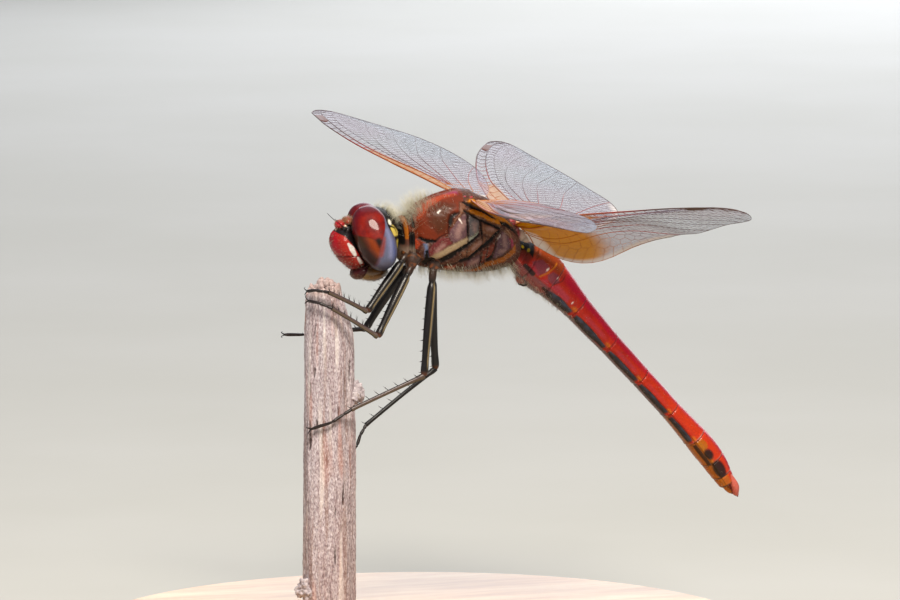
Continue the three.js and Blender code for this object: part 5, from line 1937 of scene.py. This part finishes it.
# %% Film and veins
film, tree, shader, where = new_finish(
    "clear wing film", Roughness=0.5, IOR=1.4, Specular_IOR_Level=0.2, Coat_Weight=0.06, Coat_Roughness=0.2,
)
haze = mottled(tree, where, 2.5, ["#6C7E94", "#827E92", "#768C9A"], detail=3, sharpness=0.0)
# rose is a painted reflection of the sky on the film.
tint = layered(tree, haze, [
    # blue is a painted sheen on the film.
    ("lilac", "#7E708C"), ("blue", "#6C8AA4"), ("rose", "#76606A"), ("amber", "#B47800"),
    ("milk", "#CFC8C4"),
])
tree.links.new(tint, shader.inputs["Base Color"])
dense = add(tree, "ShaderNodeAttribute", attribute_name="dense").outputs["Fac"]
tree.links.new(dense, shader.inputs["Alpha"])
ripple = add(tree, "ShaderNodeTexNoise", {"Vector": where, "Scale": 1 / (0.7 * MM), "Detail": 2.0})
grain(tree, shader, ripple.outputs["Fac"], 0.03)

vein_finish = cuticle(
    "wing vein, red at the front and root",
    ["#4A3634", "#5C4440"],
    # dark darkens the stigmas, and on the near wings it is painted shade.
    [("red", "#962812"), ("gold", "#B8701E"), ("stigma", "#7E4630"), ("dark", "#2A1C1C")],
    roughness=0.5, pit_depth=0.0, gloss=0.1, Specular_IOR_Level=0.2,
)


# %% Vein strands of a wing
def cross_veins(wing, front, rear, start, end, spacing, draws):
    """Routes for the braces between two veins. front and rear give a share at t."""
    rows = []
    for t in np.arange(start, end, spacing / wing.length):
        lean = draws.uniform(-0.15, 0.25) * spacing / wing.length
        a, b = np.array([t, front(t)]), np.array([t + lean, rear(t + lean)])
        if b[1] - a[1] > 0.012:
            rows.append(np.array([a, (a + b) / 2, b]))
    return rows


def line_on(start, end, count):
    """A straight route on the plan from one place (t, share) to another."""
    return np.column_stack([np.linspace(start[0], end[0], count), np.linspace(start[1], end[1], count)])


def wing_edge(t):
    """The share of the front edge itself."""
    return 0.0


def vein_strands(wing, routes, share_of):
    """The strands of a wing in three groups: strong front veins, main veins and the cells' walls."""
    draws = np.random.default_rng(31 if wing.fore else 47)
    groups = {"front": [], "main": [], "cell": []}

    def lay(group, route, radius):
        """Adds a strand along places on the plan."""
        groups[group].append((wing.place(route[:, 0], route[:, 1]), radius))

    costa = line_on((0, 0.004), (1, 0.004), 120)
    lay("front", costa, 0.075 * (1 - 0.5 * costa[:, 0]))
    for vein, (_, radius) in VEINS.items():
        group = "front" if vein in FRONT_VEINS else "main"
        lay(group, routes[vein], radius * (1 - 0.55 * routes[vein][:, 0]))
    # A thin vein runs round the rear edge and the tip, and a thicker one closes the root.
    lay("cell", line_on((1, 0.997), (0.01, 0.997), 200), 0.02)
    lay("cell", line_on((0.9985, 0), (0.9985, 1), 8), 0.022)
    lay("main", line_on((0.004, 0.1), (0.004, 0.98), 14), 0.035)

    # Braces stand square between the front veins, and closer past the dark cell near the tip.
    inner_gap = 1.35 if wing.fore else 1.6
    before_nodus, after_nodus = wing.nodus - 0.01, wing.nodus + 0.03
    subcosta, radius, sector = (share_of[vein] for vein in ("subcosta", "radius", "front_sector"))
    braces = cross_veins(wing, wing_edge, subcosta, 0.05, before_nodus, inner_gap, draws)
    braces += cross_veins(wing, subcosta, radius, 0.05, before_nodus, inner_gap, draws)
    braces += cross_veins(wing, wing_edge, radius, after_nodus, 0.86, 1.3, draws)
    braces += cross_veins(wing, wing_edge, radius, 0.935, 0.98, 0.5, draws)
    for brace in braces:
        lay("front", brace, 0.018)
    braces = cross_veins(wing, radius, sector, 0.18, 0.97, 1.0, draws)
    braces.append(np.array([[0.13, radius(0.13)], [0.132, 0.32], [0.13, 0.36], [0.13, 0.52]]))
    nodus = wing.nodus
    braces.append(np.array([[nodus, 0.0], [nodus + 0.004, 0.07], [nodus + 0.01, sector(nodus)]]))
    for brace in braces:
        lay("main", brace, 0.016)

    # The small cells fill the wing behind the front sector.
    around = np.linspace(0, 1, 150)
    front_edge = np.column_stack([around, 0 * around])
    rear_edge = np.column_stack([around[::-1], 0 * around + 1])
    margin = flat_places(wing, np.concatenate([front_edge, rear_edge[1:]]))
    main_lines = [flat_places(wing, route) for vein, route in routes.items() if vein not in FRONT_VEINS]
    walls = cell_walls(wing, main_lines, margin)
    middles = walls.mean(axis=1)
    t = middles[:, 0] / wing.length
    share = wing.share(np.clip(t, 0, 1), middles[:, 1])
    sector_line = routes["front_sector"]
    strip = np.where(t < 0.13, 0.24, np.interp(t, sector_line[:, 0], sector_line[:, 1]))
    ends = walls.reshape(-1, 2)
    end_share = wing.share(np.clip(ends[:, 0] / wing.length, 0, 1), ends[:, 1]).reshape(-1, 2)
    inside = (end_share.max(axis=1) < 1.02) & (end_share.min(axis=1) > 0)
    kept = (t > 0.01) & (t < 0.995) & (share > strip) & inside
    for wall, at in zip(walls[kept], t[kept]):
        out = np.clip(wall[:, 0] / wing.length, 0, 1)
        lay("cell", np.column_stack([out, np.clip(wing.share(out, wall[:, 1]), 0, 1)]), 0.0105 - 0.002 * at)
    print(wing.name, {group: len(rows) for group, rows in groups.items()}, "strands")
    return groups


# %% Four wings
STIGMA_START, STIGMA_LENGTH = 0.842, 0.073
for name, wing in wings.items():
    near = wing.side == LEFT
    routes = {vein: vein_route(wing, stations) for vein, (stations, _) in VEINS.items()}
    share_of = {
        vein: lambda t, line=line: float(np.interp(t, line[:, 0], line[:, 1]))
        for vein, line in routes.items()
    }
    parts = [
        (strands(rows, 4), {"front": float(group == "front"), "root": float(group != "cell")})
        for group, rows in vein_strands(wing, routes, share_of).items()
    ]
    vein_piece = piece(f"{name}_veins", joined(f"{name}_veins", parts), vein_finish, "wing_membrane")
    out = (places_of(vein_piece) - wing.root) @ wing.span / wing.length
    front, root = wrap(vein_piece, "front"), wrap(vein_piece, "root")
    behind = 1 - front
    paint(
        vein_piece,
        red=front * smooth(0.66 - out, -0.1, 0.12) + behind * smooth(0.14 + 0.2 * root - out, -0.08, 0.08),
        gold=0.55 * front * smooth(0.5 - out, -0.1, 0.2) + 0.8 * behind * smooth(0.15 - out, -0.04, 0.04),
    )

    film_piece = piece(f"{name}_film", rolled(150, 48, wing.place), film, "wing_membrane", [name])
    t, share = wrap(film_piece, "along"), wrap(film_piece, "around")
    cloud = smear(np.column_stack([t * 4, share, 0 * t]), 1.0, 2.0)
    # rose is a painted reflection of the sky: strong on the near forewing, where it shows as a pinkish mauve
    # panel, and faint on the other wings.
    if wing.fore:
        stain = smooth(0.07 - t - 0.1 * np.abs(share - 0.2), -0.02, 0.03)
        rose_reflection_strength, border_strength = 0.9 if near else 0.2, 0
    else:
        stain_edge = 0.93 + 0.04 * smooth(0.08 - t, -0.02, 0.02) - share
        stain = smooth(0.132 - t - 0.1 * np.abs(share - 0.45) + 0.03 * cloud, -0.025, 0.03)
        stain = stain * smooth(stain_edge, -0.03, 0.03)
        rose_reflection_strength, border_strength = 0.3, 0.8
    radius_at = np.interp(t, routes["radius"][:, 0], routes["radius"][:, 1])
    strip = smooth(radius_at + 0.01 - share, -0.02, 0.02) * smooth(wing.nodus + 0.02 - t, -0.02, 0.03)
    rose = smooth(0.45 - t, -0.2, 0.15) * smooth(share, 0.1, 0.3) * rose_reflection_strength
    border = border_strength * smooth(share, 0.92, 0.98) * smooth(0.3 - t, -0.05, 0.05)
    whitish = np.maximum(smooth(0.022 - t, -0.006, 0.006) * smooth(share, 0.35, 0.5), border)
    dense = 0.42 + 0.42 * stain + 0.25 * strip + 0.35 * rose + 0.42 * whitish + 0.1 * cloud
    paint(
        film_piece,
        amber=np.maximum(stain, 0.85 * strip),
        lilac=np.clip(0.45 + 0.4 * cloud, 0, 1) * (1 - stain),
        rose=rose * (1 - stain) * (1 - 0.8 * strip),
        # blue is a painted sheen: the blue grey that the film shows towards its rear edge and its tip.
        blue=0.6 * smooth(share - 0.4 * cloud, 0.35, 0.8) * smooth(t, 0.25, 0.5),
        milk=whitish,
        # The near forewing's film is denser all over, to carry its painted reflection.
        dense=dense + 0.14 * (near and wing.fore),
    )
    stigma_t = np.linspace(STIGMA_START, STIGMA_START + STIGMA_LENGTH, 12)
    stigma_rear = np.array([share_of["radius"](value) for value in stigma_t])

    def stigma_rule(u, v):
        """The thick cell: it fills the space from the front edge to the radius."""
        t = STIGMA_START + STIGMA_LENGTH * u
        rear = np.interp(t, stigma_t, stigma_rear)
        above = 0.07 * np.sin(math.tau * v) * np.sin(math.pi * u) ** 0.2
        return wing.place(t, rear * (0.5 - 0.5 * np.cos(math.tau * v)), above)

    stigma = piece(f"{name}_stigma", rolled(24, 24, stigma_rule), vein_finish, "wing_membrane")
    # dark is painted shade: the near wings' stigmas are painted darker than the far ones.
    paint(stigma, stigma=0.95, dark=0.92 if near else 0.45)

# %% [markdown]
# ## The coat of fine hair
#
# A darter is fuzzy. Pale hairs stand in a ruff on the collar and the front of the thorax and hang below
# it, shorter ones line the belly, and sparse short ones stand on the face and the lips. Each tuft is a
# few tapered solid hairs. Roots are drawn over the skin by area, and every hair keeps the skin's own
# markings at its root. The map OFBake gives each tuft a small patch at its root's place on the skin's
# own unwrap, the flat sheet that the skin was rolled from.

# %% One hair, and a coat of them
one_hair = bmesh.new()
bmesh.ops.create_cone(one_hair, segments=3, radius1=1.0, radius2=0.12, depth=1.0, cap_ends=True)
uprights = [edge for edge in one_hair.edges if abs(edge.verts[0].co.z - edge.verts[1].co.z) > 0.5]
bmesh.ops.subdivide_edges(one_hair, edges=uprights, cuts=2)
bmesh.ops.triangulate(one_hair, faces=one_hair.faces)
HAIR = np.array([tuple(vert.co) for vert in one_hair.verts]) + [0, 0, 0.5]
HAIR_FACES = np.array([[vert.index for vert in face.verts] for face in one_hair.faces])
one_hair.free()
# The share of the unwrap that one tuft's patch covers.
PATCH = 0.003
HAIRS_IN_TUFT = 3


def unit(vectors):
    """Vectors made one long."""
    return vectors / np.maximum(np.linalg.norm(vectors, axis=1, keepdims=True), 1e-9)


def at_corners(values, corners, weights):
    """Values of three corners each, mixed by weight."""
    return (values[corners] * weights).sum(axis=1)


def coat(name, skin, finish, slot, tufts, thick, density, length, lie, seed):
    """Tufts on a skin. density and length, in millimetres, are numbers or functions of the roots' places.

    lie is the way the hairs lean, and thick is a hair's radius at its root in millimetres.
    """
    draws = np.random.default_rng(seed)
    mesh = skin.data
    mesh.calc_loop_triangles()
    corners = np.empty(len(mesh.loop_triangles) * 3, int)
    mesh.loop_triangles.foreach_get("vertices", corners)
    loops = np.empty(len(corners), int)
    mesh.loop_triangles.foreach_get("loops", loops)
    flat_map = np.empty(len(mesh.loops) * 2)
    mesh.uv_layers["Wrap"].uv.foreach_get("vector", flat_map)
    corners, loops = corners.reshape(-1, 3), loops.reshape(-1, 3)
    places = places_of(skin)
    a, b, c = (places[corners[:, k]] for k in range(3))
    thickness = density((a + b + c) / 3) if callable(density) else density
    chance = np.linalg.norm(np.cross(b - a, c - a), axis=1) * np.clip(thickness, 0, None)
    chosen = draws.choice(len(chance), tufts, p=chance / chance.sum())
    reach, turn = np.sqrt(draws.random(tufts)), draws.random(tufts)
    weights = np.column_stack([1 - reach, reach * (1 - turn), reach * turn])[..., None]
    root = at_corners(places, corners[chosen], weights)
    out = unit(at_corners(vertices(skin, "normal"), corners[chosen], weights))
    spot_on_map = at_corners(flat_map.reshape(-1, 2), loops[chosen], weights)
    known = [mark for mark, code in HAIR_MARKS if mark in mesh.attributes]
    at_root = {mark: 0.5 * wrap(skin, mark)[corners[chosen]].mean(axis=1) for mark in known}

    # The hairs of a tuft: each leans with the lie, and a little its own way.
    root, out, spot_on_map = (np.repeat(rows, HAIRS_IN_TUFT, axis=0) for rows in (root, out, spot_on_map))
    count = len(root)
    side = unit(np.cross(out, draws.normal(size=(count, 3))))
    root = root + side * draws.uniform(0, 0.04, (count, 1)) - out * 0.03
    way = unit(out + lie + draws.normal(0, 0.22, (count, 3)))
    droop = unit(np.cross(way, side)) * draws.uniform(-0.25, 0.25, (count, 1)) + np.array([0.12, 0, -0.05])
    long = (length(root) if callable(length) else length) * draws.uniform(0.6, 1.15, count)
    wide = thick * draws.uniform(0.75, 1.2, count)
    across = unit(np.cross(way, side))
    side = np.cross(across, way)
    x, y, z = HAIR.T
    ahead, bent = z * long[:, None], z ** 2 * long[:, None]
    mesh_points = (
        root[:, None] + way[:, None] * ahead[..., None] + droop[:, None] * bent[..., None]
        + side[:, None] * (x * wide[:, None])[..., None] + across[:, None] * (y * wide[:, None])[..., None]
    )
    faces = (HAIR_FACES[None] + np.arange(count)[:, None, None] * len(HAIR)).reshape(-1, 3)
    made = bpy.data.meshes.new(name)
    made.from_pydata(world(mesh_points.reshape(-1, 3)), [], faces)
    layer = made.uv_layers.new(name="OFBake")
    local_patch = np.column_stack([(x + 1) / 2, z])[HAIR_FACES.ravel()] * PATCH
    patches = (spot_on_map * 0.99)[:, None] + local_patch[None]
    layer.uv.foreach_set("vector", patches.ravel())
    thing = piece(name, made, finish, slot)
    each = HAIRS_IN_TUFT * len(HAIR)
    paint(thing, tip=np.tile(z, count), **{mark: np.repeat(value, each) for mark, value in at_root.items()})


# The skin's own markings tint the hairs that stand on them.
HAIR_MARKS = [
    ("black", "#2A2420"), ("crimson", "#A03A34"), ("orange", "#B8603C"), ("mauve", "#7C5C60"),
    ("amber", "#A87838"),
]


def hair_finish(name, codes):
    """Hair: soft gloss, paler towards its tip."""
    finish, tree, shader, where = new_finish(name, Roughness=0.5, Specular_IOR_Level=0.4, Sheen_Weight=0.2)
    to_tip = layered(tree, mottled(tree, where, 0.4, codes), [("tip", codes[-1])])
    tree.links.new(layered(tree, to_tip, HAIR_MARKS), shader.inputs["Base Color"])
    return finish


pale_hair = hair_finish("pale straw hair", ["#8E8868", "#AEA888", "#DCD8C4"])
brown_hair = hair_finish("brown to cream hair", ["#564636", "#84745A", "#BAAC90"])


# %% Ruff, belly fringe and bristles
def wrap_level(places):
    """How far round the abdomen a place lies: 90 on top, 0 at the side, -90 below."""
    s = np.clip(np.interp(places[:, 0], abdomen_points[:, 0], abdomen_places), 0, 24)
    middle, ahead = abdomen_line(s), abdomen_line(s + 0.2) - abdomen_line(s - 0.2)
    ahead /= np.linalg.norm(ahead, axis=1, keepdims=True)
    above = (places[:, 0] - middle[:, 0]) * -ahead[:, 1] + (places[:, 2] - middle[:, 1]) * ahead[:, 0]
    return np.degrees(np.arctan2(above, np.abs(places[:, 1])))


def ruff_length(places):
    """Long at the front edge, and shorter back over the thorax."""
    return 1.4 - 1.05 * smooth(places[:, 0], 6.2, 8.8)


def ruff_density(places):
    """Thick at the front edge of the thorax, and thin over the front plate."""
    top = smooth(places[:, 2] - 0.5 * (places[:, 0] - 6), 29.0, 29.8)
    return top * (0.12 + smooth(-places[:, 0], -7.9, -6.6)) * smooth(-places[:, 0], -9.4, -8.8)


BACKWARD, UPWARD = np.array([0.35, 0, 0.0]), np.array([-0.1, 0, 0.35])
# Each coat: its skin, finish and slot, the number of tufts, a hair's radius, density, length and lie.
COATS = {
    "ruff_on_collar": (
        collar, pale_hair, "thorax_shell", 220, 0.0055,
        lambda p: smooth(p[:, 2], 28.2, 29.2), 1.4, 2 * UPWARD,
    ),
    "ruff_on_thorax": (thorax, pale_hair, "thorax_shell", 380, 0.0052, ruff_density, ruff_length, UPWARD),
    "fringe_under_thorax": (
        thorax, pale_hair, "thorax_shell", 850, 0.0048, lambda p: smooth(-p[:, 2], -26.6, -25.9),
        lambda p: 0.86 + 0.12 * np.sin(3 * p[:, 0]), np.array([0.15, 0, -0.5]),
    ),
    "down_on_thorax_sides": (
        thorax, brown_hair, "thorax_shell", 300, 0.004,
        lambda p: smooth(p[:, 2], 26.2, 27.0) * smooth(-p[:, 2], -30.4, -29.6), 0.28, BACKWARD,
    ),
    "fringe_under_abdomen": (
        abdomen, pale_hair, "abdomen_shell", 500, 0.0045,
        lambda p: smooth(-wrap_level(p), 38, 52) * (1 - 0.75 * smooth(p[:, 0], 16.5, 19)),
        lambda p: 0.36 - 0.22 * smooth(p[:, 0], 16.5, 20), np.array([0.4, 0, -0.4]),
    ),
    "down_on_abdomen": (abdomen, brown_hair, "abdomen_shell", 600, 0.004, 1, 0.13, np.array([0.8, 0, -0.8])),
    "down_behind_head": (
        head_rear, pale_hair, "head_shell", 190, 0.005,
        lambda p: smooth(p[:, 0], 3.9, 4.4) * smooth(p[:, 2], 29.2, 29.8), 0.8, np.array([0.1, 0, 0.7]),
    ),
    "bristles_on_face": (
        face, brown_hair, "face", 300, 0.0045,
        lambda p: smooth(1.7 - p[:, 0] - 0.9 * (p[:, 2] - 27.5), 0, 0.3), 0.2, np.array([0, 0, 0.1]),
    ),
    "bristles_on_vertex": (lips["vertex"], brown_hair, "face", 120, 0.0055, 1, 0.2, -BACKWARD),
    "bristles_on_vertex_rear": (lips["vertex_rear"], brown_hair, "face", 130, 0.0055, 1, 0.2, -BACKWARD),
    "bristles_on_labrum": (lips["labrum"], brown_hair, "face", 140, 0.0045, 1, 0.2, -BACKWARD),
    "bristles_on_labium": (lips["labium"], brown_hair, "face", 220, 0.0055, 1, 0.2, -BACKWARD),
    "hairs_on_second_parts": (
        bulge, brown_hair, "abdomen_shell", 160, 0.006, 1, 0.35, np.array([0, 0, -0.3]),
    ),
}
FIRST_SEED = 11
for number, (name, rules) in enumerate(COATS.items()):
    coat(name, *rules, FIRST_SEED + number)
